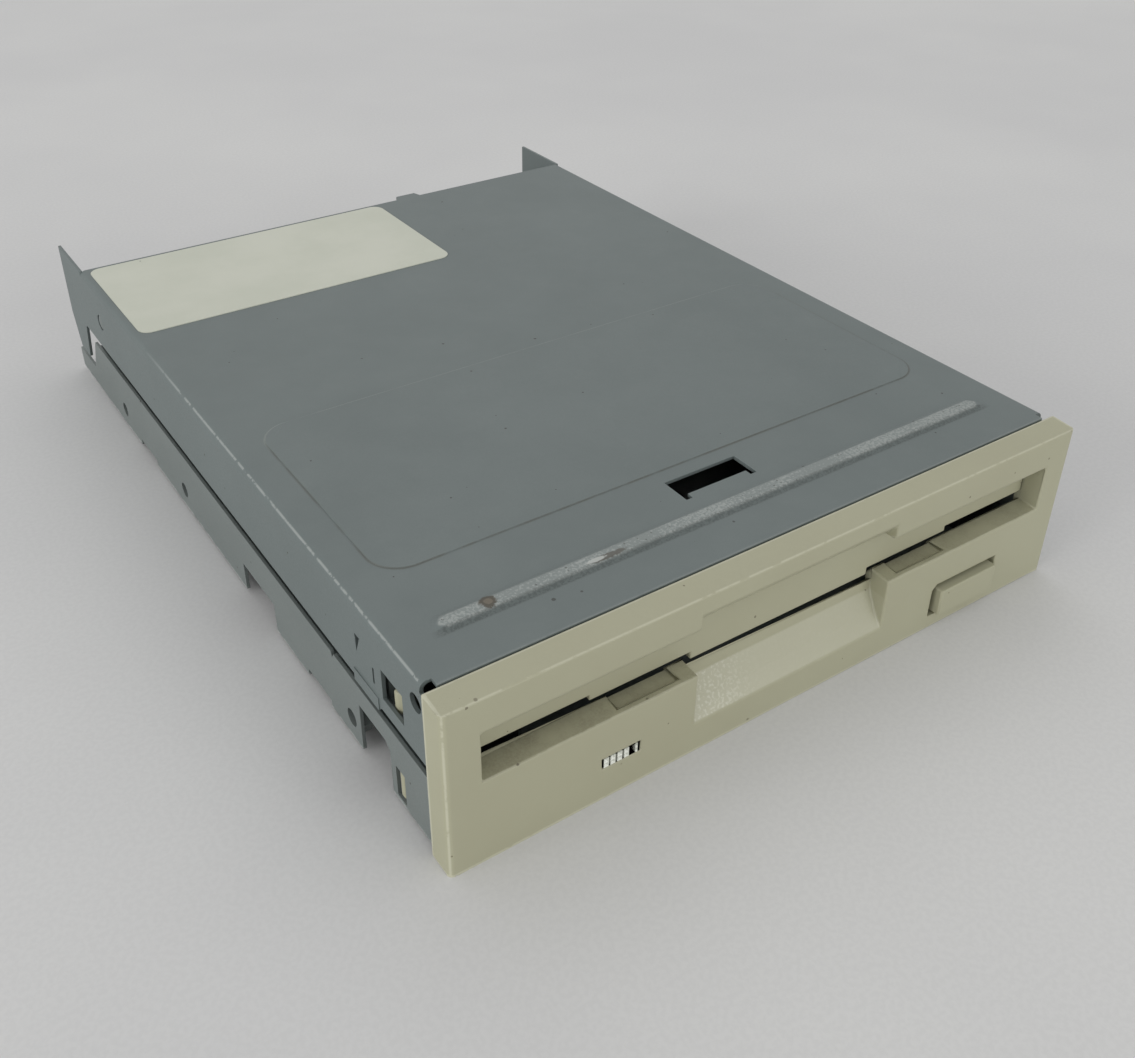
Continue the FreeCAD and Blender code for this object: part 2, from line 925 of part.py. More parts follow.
def frame_rails(body):
    # the inner rail rises from the deck and carries the upright tabs
    rail = [
        ("wall_front", "deck_low"),
        ("deck_rear", "deck_low"),
        ("deck_rear", "inner_top"),
        ("rear_tab_rear", "inner_top"),
        ("rear_tab_rear", "rear_tab_top"),
        ("rear_tab_front", "rear_tab_top"),
        ("rear_tab_front", "inner_top"),
        ("guide_b + pin_tab_half", "inner_top"),
        ("guide_b + pin_tab_half", "pin_tab_top"),
        ("guide_b - pin_tab_half", "pin_tab_top"),
        ("guide_b - pin_tab_half", "inner_top"),
        ("gap_rear_b", "inner_top"),
        ("gap_rear_b", "ledge_top"),
        ("gap_front_b", "ledge_top"),
        ("gap_front_b", "inner_top"),
        ("gap_rear_a", "inner_top"),
        ("gap_rear_a", "ledge_top"),
        ("gap_front_a", "ledge_top"),
        ("gap_front_a", "inner_top"),
        ("guide_a + pin_tab_half", "inner_top"),
        ("guide_a + pin_tab_half", "pin_tab_top"),
        ("guide_a - pin_tab_half", "pin_tab_top"),
        ("guide_a - pin_tab_half", "inner_top"),
        ("hook_tab_rear", "inner_top"),
        ("hook_tab_rear", "hook_tab_top"),
        ("hook_tab_front", "hook_tab_top"),
        ("hook_tab_front", "inner_top"),
        ("wall_front", "inner_top")]
    both_sides(body, "inner_in", "inner_out", [rail])
    # a narrow shelf ties the rail to the side wall
    both_sides(body, "inner_in", "half_shell", [box("wall_front", "deck_rear", "shelf_low", "shelf_high")])


def frame_deck(body):
    pad(body, "XY", "deck_low", "deck_top", [
        box("-inner_out", "inner_out", "deck_front", "deck_rear")])
    pocket(body, "XY", "deck_low", "deck_top", [
        ("0", "spindle_y", "hub_hole_r"),
        box("notch_left", "notch_right", "notch_front", "notch_rear"),
        many_sided("-deck_hole_x", "front_board_y", "deck_hole_r", PIN_SIDES),
        [("-bay_left", "bay_front"),
         ("rod_x - rod_slot_half", "bay_front"),
         ("rod_x - rod_slot_half", "rod_slot_front"),
         ("rod_x + rod_slot_half", "rod_slot_front"),
         ("rod_x + rod_slot_half", "bay_front"),
         ("bay_right", "bay_front"),
         ("bay_right", "bay_rear"),
         ("rod_x + rod_slot_half", "bay_rear"),
         ("rod_x + rod_slot_half", "rod_slot_rear"),
         ("rod_x - rod_slot_half", "rod_slot_rear"),
         ("rod_x - rod_slot_half", "bay_rear"),
         ("-motor_bay_right", "bay_rear"),
         ("-motor_bay_right", "deck_rear"),
         ("-motor_bay_left", "deck_rear"),
         ("-motor_bay_left", "motor_bay_front"),
         ("-bay_left", "motor_bay_front")]])


BOSS_SIDES = 8
SHANK_SIDES = 6
PIN_SIDES = 12
FRONT_BOSSES = [
    ("-front_board_x", "front_board_y"),
    ("front_board_right", "front_board_y"),
    ("-front_board_x", "front_board_rear")]
REAR_BOSSES = [
    ("-rear_board_x", "rear_board_a"),
    ("rear_board_x", "rear_board_a"),
    ("-rear_board_x", "rear_board_b"),
    ("rear_board_x", "rear_board_b")]


def chassis_frame():
    body = new_body("chassis_frame")
    frame_deck(body)
    frame_rails(body)
    frame_walls(body)
    both_sides(body, "collar_in", "half_shell - cover_skin", [
        many_sided(along, "side_hole_z", "collar_r", BOSS_SIDES)
        for along in ("side_hole_a", "side_hole_b", "side_hole_c")])
    both_sides(body, "inner_out", "snap_out", [many_sided("snap_y", "snap_z", "snap_r", PIN_SIDES)])
    pad(body, "XY", "motor_board_top", "deck_low", [many_sided(x, y, "boss_r", BOSS_SIDES) for x, y in FRONT_BOSSES])
    pad(body, "XY", "main_board_top", "deck_low", [many_sided(x, y, "boss_r", BOSS_SIDES) for x, y in REAR_BOSSES])
    through(body, [
        ("side_hole_a", "side_hole_z", "side_hole_r"),
        ("side_hole_b", "side_hole_z", "side_hole_r"),
        ("side_hole_c", "side_hole_z", "side_hole_r"),
        box("low_hook_front", "low_hook_rear", "low_hook_low", "low_hook_high"),
        box("hook_hole_front", "hook_hole_rear", "hook_hole_low", "hook_hole_high"),
        box("guide_a - pin_slot_half", "guide_a + pin_slot_half", "pin_slot_low", "rear_tab_top"),
        box("guide_b - pin_slot_half", "guide_b + pin_slot_half", "pin_slot_low", "rear_tab_top")])
    pocket(body, "XY", "motor_board_top", "deck_low", [many_sided(x, y, "small_r", SHANK_SIDES) for x, y in FRONT_BOSSES])
    pocket(body, "XY", "main_board_top", "deck_low", [many_sided(x, y, "small_r", SHANK_SIDES) for x, y in REAR_BOSSES])
    pocket(body, "XY", "deck_low", "deck_top", [
        many_sided("clamp_screw_x", "(clamp_a_front + clamp_a_rear) / 2", "small_r", SHANK_SIDES),
        many_sided("clamp_screw_x", "(clamp_b_front + clamp_b_rear) / 2", "small_r", SHANK_SIDES),
        many_sided("-foot_screw_left_x", "foot_screw_left_y", "small_r", SHANK_SIDES),
        many_sided("foot_screw_right_x", "foot_screw_right_y", "small_r", SHANK_SIDES)])
    return body


# Front bezel: a moulding with a stepped disk slot and a ramped finger recess
def bezel_block(body):
    pad(body, "YZ", "-bezel_half", "bezel_half", [[
        ("-bezel_deep", "0"), ("0", "0"), ("0", "bezel_high"), ("-bezel_deep", "bezel_lip")]])
    half = cell("bezel_half")
    face = -cell("bezel_deep")
    soften(body, lambda a, b: near(abs(a.x), half) and near(a.x, b.x) and near(a.y, face) and near(b.y, face),
           "edge_round")
    pocket(body, "YZ", "-slot_half", "slot_half", [[
        ("-bezel_deep - over", "slot_low"),
        ("-ledge_back", "slot_ledge"),
        ("-lip_back", "slot_ledge"),
        ("0", "slot_ledge - lip_drop"),
        ("0", "slot_high"),
        ("lip_round - bezel_deep", "slot_high"),
        ("lip_mid - bezel_deep", "slot_high + lip_mid"),
        ("-bezel_deep", "slot_high + lip_round"),
        ("-bezel_deep - over", "slot_high + lip_round")]])


def bezel_recess(body):
    # the ramp under the slot and the sloped brow above it, for thumb and finger
    pocket(body, "YZ", "-ramp_half", "ramp_half", [[
        ("-bezel_deep - over", "ramp_low"),
        ("-bezel_deep", "ramp_low"),
        ("-ramp_mid_y", "ramp_mid_z"),
        ("-ramp_top_y", "ramp_top_z"),
        ("-sill_y", "sill_z"),
        ("-lip_back", "sill_z"),
        ("0", "sill_z - lip_drop"),
        ("0", "slot_high"),
        ("-brow_back_y", "slot_high"),
        ("-bezel_deep", "brow_front_z"),
        ("-bezel_deep - over", "brow_front_z")]])
    both_sides(body, "dish_in", "dish_out", [[
        ("-dish_front", "slot_ledge"),
        ("-dish_front", "dish_low"),
        ("-lip_back", "dish_low"),
        ("0", "dish_low - lip_drop"),
        ("0", "slot_ledge")]], pocket)


def bezel_back(body):
    # room for the flap, and shallow hollows that keep the moulding's wall even
    pocket(body, "YZ", "-flap_room_half", "flap_room_half", [
        box("-flap_room_front", "0", "slot_high", "flap_room_high")])
    pocket(body, "XZ", "-hollow_deep", "0", [
        box("-hollow_side", "-hollow_lamp_out", "hollow_low", "hollow_high"),
        box("-hollow_lamp_in", "-hollow_ramp", "hollow_low", "hollow_high"),
        box("hollow_ramp", "hollow_key_in", "hollow_low", "hollow_high"),
        box("hollow_key_out", "hollow_side", "hollow_low", "hollow_high")])


def barb(body, name, low, high):
    # the wedge at a hook's end: it slides in over its slope and catches with its back
    corners = [
        (name + "_arm_out", name + "_barb_front"),
        (name + "_barb_out", name + "_barb_peak"),
        (name + "_barb_out", name + "_barb_rear"),
        (name + "_arm_out", name + "_barb_rear")]
    pad(body, "XY", low, high, [corners, [("-" + across, along) for across, along in corners]])


def bezel_hooks(body):
    both_sides(body, "high_arm_in", "high_arm_out", [
        box("0", "high_barb_rear", "high_arm_low", "high_arm_high")])
    barb(body, "high", "high_arm_low", "high_arm_high")
    both_sides(body, "low_arm_in", "low_arm_out", [
        box("-hollow_deep", "low_barb_rear", "low_arm_low", "low_arm_high")])
    barb(body, "low", "low_arm_low", "low_arm_high")
    both_sides(body, "lug_in", "lug_out", [box("0", "lug_deep", "lug_low", "lug_high")])
    pocket(body, "YZ", "-lug_out", "lug_out", [("hinge_y", "hinge_z", "hinge_bore_r")])


def front_bezel():
    body = new_body("front_bezel")
    bezel_block(body)
    bezel_recess(body)
    bezel_back(body)
    bezel_hooks(body)
    pocket(body, "XZ", "-bezel_deep", "0", [
        [("key_left", "key_low"), ("key_right", "key_low"), ("key_right", "key_high"),
         ("key_left + edge_round", "key_high"), ("key_left", "key_high - edge_round")],
        box("-lamp_left", "-lamp_right", "lamp_low", "lamp_high")])
    return body


# Dust flap that hangs behind the slot
def dust_flap():
    body = new_body("dust_flap")
    pad(body, "XZ", "-flap_front", "-flap_back", [[
        ("-flap_half", "flap_end_low"),
        ("-flap_mid_half", "flap_end_low"),
        ("-flap_mid_half", "flap_mid_low"),
        ("-flap_tongue_half", "flap_mid_low"),
        ("-flap_tongue_half", "flap_tongue_low"),
        ("flap_tongue_half", "flap_tongue_low"),
        ("flap_tongue_half", "flap_mid_low"),
        ("flap_mid_half", "flap_mid_low"),
        ("flap_mid_half", "flap_end_low"),
        ("flap_half", "flap_end_low"),
        ("flap_half", "flap_top"),
        ("-flap_half", "flap_top")]])
    pad(body, "YZ", "-flap_pin_half", "flap_pin_half", [("hinge_y", "hinge_z", "flap_pin_r")])
    return body


# Eject button, a hollow cap on a stem
def eject_button():
    body = new_body("eject_button")
    pad(body, "XZ", "-button_front", "button_back", [
        box("button_left", "button_right", "button_low", "button_high")])
    pocket(body, "XZ", "button_wall - button_front", "button_back", [
        box("button_left + button_wall", "stem_left - button_wall", "button_low + button_wall",
            "button_high - button_wall")])
    pad(body, "XZ", "button_wall - button_front", "stem_rear", [
        box("stem_left", "stem_right", "stem_low", "stem_high")])
    return body


# Activity lamp: light pipe in the bezel and the LED behind it
def led_lens():
    body = new_body("led_lens")
    pad(body, "XZ", "-bezel_deep", "lens_back", [box("-lens_left", "-lens_right", "lens_low", "lens_high")])
    return body


def led_lamp():
    parts = [
        block("led_shell", ("-led_left", "led_front", "led_low"), ("-led_right", "led_back", "led_high"))]
    for side in ("leg_a", "leg_b"):
        parts.append(block(
            "led_" + side,
            ("-" + side + " - leg_half", "leg_y - leg_half", "motor_board_top"),
            ("-" + side + " + leg_half", "leg_y + leg_half", "led_low")))
    whole = fuse("led_lamp", parts)
    whole.Label = "led_lamp"
    return whole


# Disk holder: the folded channel that takes the disk
def disk_holder():
    body = new_body("disk_holder")
    pad(body, "XZ", "holder_front", "holder_rear", [[
        ("-holder_half", "holder_top"),
        ("-holder_half", "lip_low"),
        ("-lip_in", "lip_low"),
        ("-lip_in", "lip_low + skin"),
        ("skin - holder_half", "lip_low + skin"),
        ("skin - holder_half", "holder_top - skin"),
        ("holder_half - skin", "holder_top - skin"),
        ("holder_half - skin", "lip_low + skin"),
        ("lip_in", "lip_low + skin"),
        ("lip_in", "lip_low"),
        ("holder_half", "lip_low"),
        ("holder_half", "holder_top")]])
    pocket(body, "XY", "holder_top - skin", "holder_top", [
        [("-head_gap_half", "head_gap_front"),
         ("head_gap_half", "head_gap_front"),
         ("head_gap_half", "lever_gap_front"),
         ("lever_gap_right", "lever_gap_front"),
         ("lever_gap_right", "holder_rear"),
         ("-head_gap_half", "holder_rear")],
        [("-mouth_half", "holder_front"),
         ("mouth_half", "holder_front"),
         ("mouth_half - mouth_deep", "holder_front + mouth_deep"),
         ("mouth_deep - mouth_half", "holder_front + mouth_deep")],
        many_sided("lever_x", "lever_y", "rivet_r", PIN_SIDES)])
    for middle in ("-tongue_x", "tongue_x"):
        # a U-shaped slot frees a tongue that presses on the disk
        pocket(body, "XY", "holder_top - skin", "holder_top", [[
            (middle + " - tongue_half", "tongue_front"),
            (middle + " + tongue_half", "tongue_front"),
            (middle + " + tongue_half", "tongue_rear"),
            (middle + " + tongue_half - tongue_slot", "tongue_rear"),
            (middle + " + tongue_half - tongue_slot", "tongue_front + tongue_slot"),
            (middle + " - tongue_half + tongue_slot", "tongue_front + tongue_slot"),
            (middle + " - tongue_half + tongue_slot", "tongue_rear"),
            (middle + " - tongue_half", "tongue_rear")]])
    return body


def guide_pins():
    pins = []
    for along in ("guide_a", "guide_b"):
        pins.append(small_bar("pin_left_" + along, PIN_SIDES, "guide_r", "guide_out - holder_half",
                              ("-guide_out", along, "guide_z"), "X"))
        pins.append(small_bar("pin_right_" + along, PIN_SIDES, "guide_r", "guide_out - holder_half",
                              ("holder_half", along, "guide_z"), "X"))
    return group("guide_pins", pins)


# Eject slider: a plate with upright cheeks whose sloped slots lower the holder
def ramp_slot(along):
    return [
        (along + " - ramp_play", "guide_z + ramp_play"),
        (along + " + ramp_lead", "guide_z + ramp_play"),
        (along + " + stroke + 2 * ramp_lead", "guide_z - drop + ramp_play"),
        (along + " + stroke + ramp_play", "guide_z - drop + ramp_play - ramp_lead"),
        (along + " + stroke + ramp_play", "guide_z - drop - ramp_play"),
        (along + " + stroke - ramp_lead", "guide_z - drop - ramp_play"),
        (along + " - ramp_lead", "guide_z - ramp_play"),
        (along + " - ramp_play", "guide_z - ramp_play")]


def eject_slider():
    body = new_body("eject_slider")
    pad(body, "XY", "slider_low", "slider_low + skin", [[
        ("-slider_out", "slider_front"),
        ("slider_out", "slider_front"),
        ("slider_out", "slider_rear"),
        ("slider_arm_in", "slider_rear"),
        ("slider_arm_in", "slider_cross"),
        ("-slider_arm_in", "slider_cross"),
        ("-slider_arm_in", "slider_rear"),
        ("-slider_out", "slider_rear")]])
    cheek = [
        ("slider_front", "slider_low"),
        ("slider_rear", "slider_low"),
        ("slider_rear", "slider_rail"),
        ("guide_b + cheek_rear", "slider_rail"),
        ("guide_b + cheek_rear", "cheek_top"),
        ("guide_b - cheek_front", "cheek_top"),
        ("guide_b - cheek_front", "slider_rail"),
        ("guide_a + cheek_rear", "slider_rail"),
        ("guide_a + cheek_rear", "cheek_top"),
        ("guide_a - cheek_front", "cheek_top"),
        ("guide_a - cheek_front", "slider_rail"),
        ("slider_front", "slider_rail")]
    both_sides(body, "slider_out - skin", "slider_out", [cheek])
    pad(body, "YZ", "slider_out - skin", "slider_out", [
        box("catch_front", "slider_rear", "slider_low", "catch_high")])
    pad(body, "XY", "catch_low", "catch_high", [
        box("catch_in", "slider_out", "catch_tab_front", "slider_rear")])
    pad(body, "XZ", "stem_rear", "stem_rear + skin", [
        box("down_left", "down_right", "down_low", "slider_low + skin")])
    through(body, [ramp_slot("guide_a"), ramp_slot("guide_b")])
    return body


# Shutter lever on the holder, with the pin that opens the disk's shutter
def strip(from_x, from_y, to_x, to_y, half):
    # a straight strip between two points given by cells, with a half width each way
    dx = cell(to_x) - cell(from_x)
    dy = cell(to_y) - cell(from_y)
    length = math.hypot(dx, dy)
    side_x = -dy / length * half
    side_y = dx / length * half
    return [
        ("%s + %.4f" % (from_x, side_x), "%s + %.4f" % (from_y, side_y)),
        ("%s - %.4f" % (from_x, side_x), "%s - %.4f" % (from_y, side_y)),
        ("%s - %.4f" % (to_x, side_x), "%s - %.4f" % (to_y, side_y)),
        ("%s + %.4f" % (to_x, side_x), "%s + %.4f" % (to_y, side_y))]


def shutter_lever():
    body = new_body("shutter_lever")
    pad(body, "XY", "lever_low", "lever_high", [("lever_x", "lever_y", "lever_hub_r")])
    pad(body, "XY", "lever_low", "lever_high", [
        strip("lever_x", "lever_y", "lever_pin_x", "lever_pin_y", cell("lever_eye_r"))])
    pad(body, "XY", "lever_low", "lever_high", [
        strip("lever_x", "lever_y", "lever_tail_x", "lever_tail_y", cell("lever_tail_r"))])
    pad(body, "XY", "lever_low", "lever_high", [("lever_pin_x", "lever_pin_y", "lever_eye_r")])
    pad(body, "XY", "lever_low", "lever_high", [("lever_tail_x", "lever_tail_y", "lever_tail_r")])
    pad(body, "XY", "lever_pin_low", "lever_low", [("lever_pin_x", "lever_pin_y", "lever_pin_r")])
    pocket(body, "XY", "lever_low", "lever_high", [("lever_x", "lever_y", "lever_bore_r")])
    return body


def lever_rivet():
    return fuse("lever_rivet", [
        small_bar("rivet_shank", PIN_SIDES, "rivet_r", "rivet_head_high - holder_top + skin",
                  ("lever_x", "lever_y", "holder_top - skin")),
        small_bar("rivet_head", PIN_SIDES, "rivet_head_r", "rivet_head_high - rivet_head_low",
                  ("lever_x", "lever_y", "rivet_head_low"))])


# Spindle motor: rotor cup, magnet, hub with drive pin, bearing sleeve and coils
ROTOR_SIDES = 24


def spindle_rotor():
    body = new_body("spindle_rotor")
    revolve(body, [
        ("shaft_r", "rotor_top - rotor_roof"),
        ("rotor_r - rotor_wall", "rotor_top - rotor_roof"),
        ("rotor_r - rotor_wall", "rotor_low"),
        ("rotor_r", "rotor_low"),
        ("rotor_r", "rotor_top"),
        ("shaft_r", "rotor_top")])
    place(body, "0", "spindle_y", "0")
    pad(body, "XY", "rotor_top", "rotor_boss_top", [
        many_sided("0", "0", "rotor_boss_r", ROTOR_SIDES), ("0", "0", "shaft_r")])
    return body


def rotor_magnet():
    body = new_body("rotor_magnet")
    pad(body, "XY", "magnet_low", "rotor_top - rotor_roof", [
        many_sided("0", "spindle_y", "magnet_out", ROTOR_SIDES),
        many_sided("0", "spindle_y", "magnet_in", ROTOR_SIDES)])
    return body


def spindle_hub():
    body = new_body("spindle_hub")
    revolve(body, [
        ("0", "shaft_low"),
        ("shaft_r", "shaft_low"),
        ("shaft_r", "rotor_boss_top"),
        ("chuck_r", "rotor_boss_top"),
        ("chuck_r", "chuck_top"),
        ("shaft_r", "chuck_top"),
        ("shaft_r", "shaft_top"),
        ("0", "shaft_top")])
    place(body, "0", "spindle_y", "0")
    return body


def drive_pin():
    pin = small_bar("drive_pin", PIN_SIDES, "drive_pin_r", "drive_pin_top - chuck_top",
                    ("drive_pin_off", "spindle_y", "chuck_top"))
    pin.Label = "drive_pin"
    return pin


def bearing_sleeve():
    body = new_body("bearing_sleeve")
    revolve(body, [
        ("sleeve_bore", "motor_board_top"),
        ("sleeve_r", "motor_board_top"),
        ("sleeve_r", "sleeve_top"),
        ("sleeve_bore", "sleeve_top")])
    place(body, "0", "spindle_y", "0")
    return body


COIL_COUNT = 9
COIL_OUTLINE = (("coil_near", 9.0), ("coil_bend", 15.0), ("coil_far", 11.0))
COIL_EYE = (("coil_eye_near", 4.0), ("coil_eye_far", 7.0))


def coil_corners(middle, half_outline):
    # an outline about a middle direction, given as radius and degrees to either side
    corners = []
    for side in (1, -1):
        for radius, spread in (half_outline if side == 1 else half_outline[::-1]):
            turn = math.radians(middle + side * spread)
            corners.append((
                "(%.5f) * %s" % (math.cos(turn), radius),
                "(%.5f) * %s + spindle_y" % (math.sin(turn), radius)))
    return corners


def stator_coils():
    coils = []
    for index in range(COIL_COUNT):
        middle = 360.0 * index / COIL_COUNT
        body = new_body("coil_%d" % index)
        pad(body, "XY", "motor_board_top", "coil_top", [
            coil_corners(middle, COIL_OUTLINE), coil_corners(middle, COIL_EYE)])
        coils.append(body)
    return group("stator_coils", coils)


# Circuit boards
def motor_board():
    body = new_body("motor_board")
    pad(body, "XY", "motor_board_low", "motor_board_top", [
        box("-motor_board_left", "motor_board_right", "motor_board_front", "motor_board_rear")])
    pocket(body, "XY", "motor_board_low", "motor_board_top", [
        many_sided(x, y, "small_r", SHANK_SIDES) for x, y in FRONT_BOSSES])
    return body


def main_board():
    body = new_body("main_board")
    pad(body, "XY", "motor_board_low", "main_board_top", [[
        ("-main_board_half", "main_board_front"),
        ("main_board_half", "main_board_front"),
        ("main_board_half", "main_board_rear"),
        ("-motor_bay_right", "main_board_rear"),
        ("-motor_bay_right", "board_bay_front"),
        ("-motor_bay_left", "board_bay_front"),
        ("-motor_bay_left", "main_board_rear"),
        ("-main_board_half", "main_board_rear")]])
    pocket(body, "XY", "motor_board_low", "main_board_top", [
        many_sided(x, y, "small_r", SHANK_SIDES) for x, y in REAR_BOSSES])
    return body


def board_chips():
    chips = [
        block("driver_chip", ("-driver_left", "driver_front", "main_board_top"),
              ("-driver_right", "driver_rear", "chip_top")),
        block("logic_chip", ("logic_left", "logic_front", "main_board_top"),
              ("logic_right", "logic_rear", "chip_top")),
        block("line_chip", ("logic_left", "line_front", "main_board_top"),
              ("line_right", "line_rear", "chip_top"))]
    return group("board_chips", chips)


# Connectors
def signal_header():
    body = new_body("signal_header")
    pad(body, "XZ", "header_front", "header_rear", [
        box("header_left", "header_right", "main_board_top", "header_top")])
    pocket(body, "XZ", "header_front + header_back", "header_rear", [
        box("header_left + header_wall", "header_right - header_wall", "main_board_top + header_wall",
            "header_top - header_wall")])
    middle = "(header_left + header_right) / 2"
    pocket(body, "XZ", "header_front + header_back", "header_rear", [
        box(middle + " - header_key_half", middle + " + header_key_half",
            "header_top - header_wall", "header_top")])
    return body


PINS_PER_ROW = 17
POWER_PINS = 4


def signal_pins():
    pins = []
    for row in ("header_row_a", "header_row_b"):
        for index in range(PINS_PER_ROW):
            across = "(header_left + header_right) / 2 + %d * pitch" % (index - PINS_PER_ROW // 2)
            pins.append(block(
                "signal_%s_%d" % (row, index),
                (across + " - header_pin_half", "header_front + header_back", row + " - header_pin_half"),
                (across + " + header_pin_half", "header_pin_rear", row + " + header_pin_half")))
    return group("signal_pins", pins)


def power_socket():
    body = new_body("power_socket")
    pad(body, "XZ", "header_front", "header_rear", [
        box("-power_left", "-power_right", "main_board_top", "power_top")])
    pocket(body, "XZ", "header_front + header_back", "header_rear", [
        box("header_wall - power_left", "-power_right - header_wall", "main_board_top + header_wall",
            "power_top - header_wall")])
    return body


def power_pins():
    pins = []
    for index in range(POWER_PINS):
        across = "(-power_left - power_right) / 2 + %.1f * power_pitch" % (index - (POWER_PINS - 1) / 2)
        pins.append(block(
            "power_%d" % index,
            (across + " - power_pin_half", "header_front + header_back", "power_row - power_pin_half"),
            (across + " + power_pin_half", "header_pin_rear", "power_row + power_pin_half")))
    return group("power_pins", pins)


# Head carriage and heads
def head_carriage():
    body = new_body("head_carriage")
    pad(body, "XY", "carriage_low", "carriage_top", [
        box("-carriage_left", "carriage_right", "bush_front", "carriage_rear")])
    pad(body, "XY", "nose_low", "carriage_top", [
        box("-carriage_left", "carriage_left", "carriage_front", "bush_front")])
    pad(body, "XY", "nut_low", "nut_top", [box("-nut_left", "-carriage_left", "nut_front", "carriage_rear")])
    pad(body, "XY", "carriage_top", "block_floor", [
        box("-carriage_left", "carriage_left", "block_front", "carriage_rear")])
    both_sides(body, "ear_in", "carriage_left", [box("block_front", "carriage_rear", "block_floor", "block_top")])
    pad(body, "XY", "flag_arm_low", "flag_arm_top", [
        box("carriage_right", "flag_right", "flag_front", "flag_rear")])
    pad(body, "XY", "flag_low", "flag_arm_top", [box("flag_left", "flag_right", "flag_front", "flag_rear")])
    pocket(body, "XY", "carriage_low", "carriage_top", [
        box("bush_gap_left", "carriage_right", "bush_gap_front", "bush_gap_rear")])
    pocket(body, "XZ", "bush_front", "carriage_rear", [
        ("rod_x", "axis_z", "rod_bore"),
        ("-screw_x", "axis_z", "nut_bore")])
    pocket(body, "YZ", "-carriage_left", "carriage_left", [
        many_sided("arm_pin_y", "arm_pin_z", "arm_pin_r", PIN_SIDES)])
    return body


def lower_head():
    head = block("lower_head", ("-head_wide", "head_y - head_half", "carriage_top"),
                 ("head_wide", "head_y + head_half", "low_head_top"))
    head.Label = "lower_head"
    return head


def head_arm():
    body = new_body("head_arm")
    pad(body, "XY", "arm_low", "arm_top", [[
        ("-arm_tip_half", "arm_front"),
        ("arm_tip_half", "arm_front"),
        ("arm_half", "head_y + head_half"),
        ("arm_half", "arm_pin_y"),
        ("-arm_half", "arm_pin_y"),
        ("-arm_half", "head_y + head_half")]])
    pad(body, "YZ", "-arm_half", "arm_half", [("arm_pin_y", "arm_pin_z", "arm_barrel_r")])
    pocket(body, "YZ", "-arm_half", "arm_half", [("arm_pin_y", "arm_pin_z", "arm_bore_r")])
    return body


def upper_head():
    head = block("upper_head", ("-head_wide", "head_y - head_half", "high_head_low"),
                 ("head_wide", "head_y + head_half", "arm_low"))
    head.Label = "upper_head"
    return head


def arm_pin():
    pin = small_bar("arm_pin", PIN_SIDES, "arm_pin_r", "2 * carriage_left",
                    ("-carriage_left", "arm_pin_y", "arm_pin_z"), "X")
    pin.Label = "arm_pin"
    return pin


def guide_rod():
    rod = round_bar("guide_rod", "rod_r", "rod_rear - rod_front", ("rod_x", "rod_front", "axis_z"), "Y")
    rod.Label = "guide_rod"
    return rod


def rod_clamp(name, front, rear):
    body = new_body(name)
    pad(body, "XZ", front, rear, [[
        ("clamp_left", "deck_top"),
        ("clamp_right", "deck_top"),
        ("clamp_right", "clamp_ear"),
        ("clamp_step", "clamp_ear"),
        ("clamp_step", "clamp_top"),
        ("clamp_left", "clamp_top")]])
    pocket(body, "XZ", front, rear, [("rod_x", "axis_z", "rod_r")])
    pocket(body, "XY", "deck_top", "clamp_ear", [
        many_sided("clamp_screw_x", "(%s + %s) / 2" % (front, rear), "small_r", SHANK_SIDES)])
    return body


# Stepper motor, its U-shaped bracket and the lead screw
def stepper_bracket():
    body = new_body("stepper_bracket")
    pad(body, "XZ", "bracket_rear", "bracket_rear + skin", [
        box("-plate_left", "-plate_right", "plate_low", "plate_top")])
    pad(body, "XY", "bracket_low", "bracket_strip", [
        box("-bracket_left", "-bracket_right", "bracket_front", "bracket_rear + skin")])
    pad(body, "XZ", "bracket_front", "bracket_front + skin", [
        box("-bracket_left", "-bracket_right", "bracket_low", "bracket_ear_top")])
    pad(body, "XY", "deck_top", "deck_top + skin", [
        box("-foot_left", "-plate_left", "foot_y", "bracket_rear + skin")])
    pad(body, "XY", "deck_top", "deck_top + skin", [[
        ("-plate_right", "foot_right_y"),
        ("foot_right", "foot_right_y"),
        ("foot_right", "foot_right_rear"),
        ("-foot_right_in", "foot_right_rear"),
        ("-foot_right_in", "bracket_rear + skin"),
        ("-plate_right", "bracket_rear + skin")]])
    pocket(body, "XZ", "bracket_rear", "bracket_rear + skin", [("-screw_x", "axis_z", "bracket_bore")])
    pocket(body, "XZ", "bracket_front", "bracket_front + skin", [("-screw_x", "axis_z", "bracket_tip_bore")])
    pocket(body, "XY", "deck_top", "deck_top + skin", [
        many_sided("-foot_screw_left_x", "foot_screw_left_y", "small_r", SHANK_SIDES),
        many_sided("foot_screw_right_x", "foot_screw_right_y", "small_r", SHANK_SIDES)])
    return body


def stepper_motor():
    body = new_body("stepper_motor")
    pad(body, "XZ", "bracket_rear + skin", "stepper_rear", [("-screw_x", "axis_z", "stepper_r")])
    pad(body, "XY", "axis_z", "terminal_top", [
        box("-screw_x - terminal_half", "terminal_half - screw_x", "terminal_front", "terminal_rear")])
    return body


def lead_screw():
    return fuse("lead_screw", [
        small_bar("screw_tip", PIN_SIDES, "screw_tip_r", "screw_rear - screw_front",
                  ("-screw_x", "screw_front", "axis_z"), "Y"),
        small_bar("screw_thread", PIN_SIDES, "screw_r", "screw_rear - screw_shoulder",
                  ("-screw_x", "screw_shoulder", "axis_z"), "Y")])


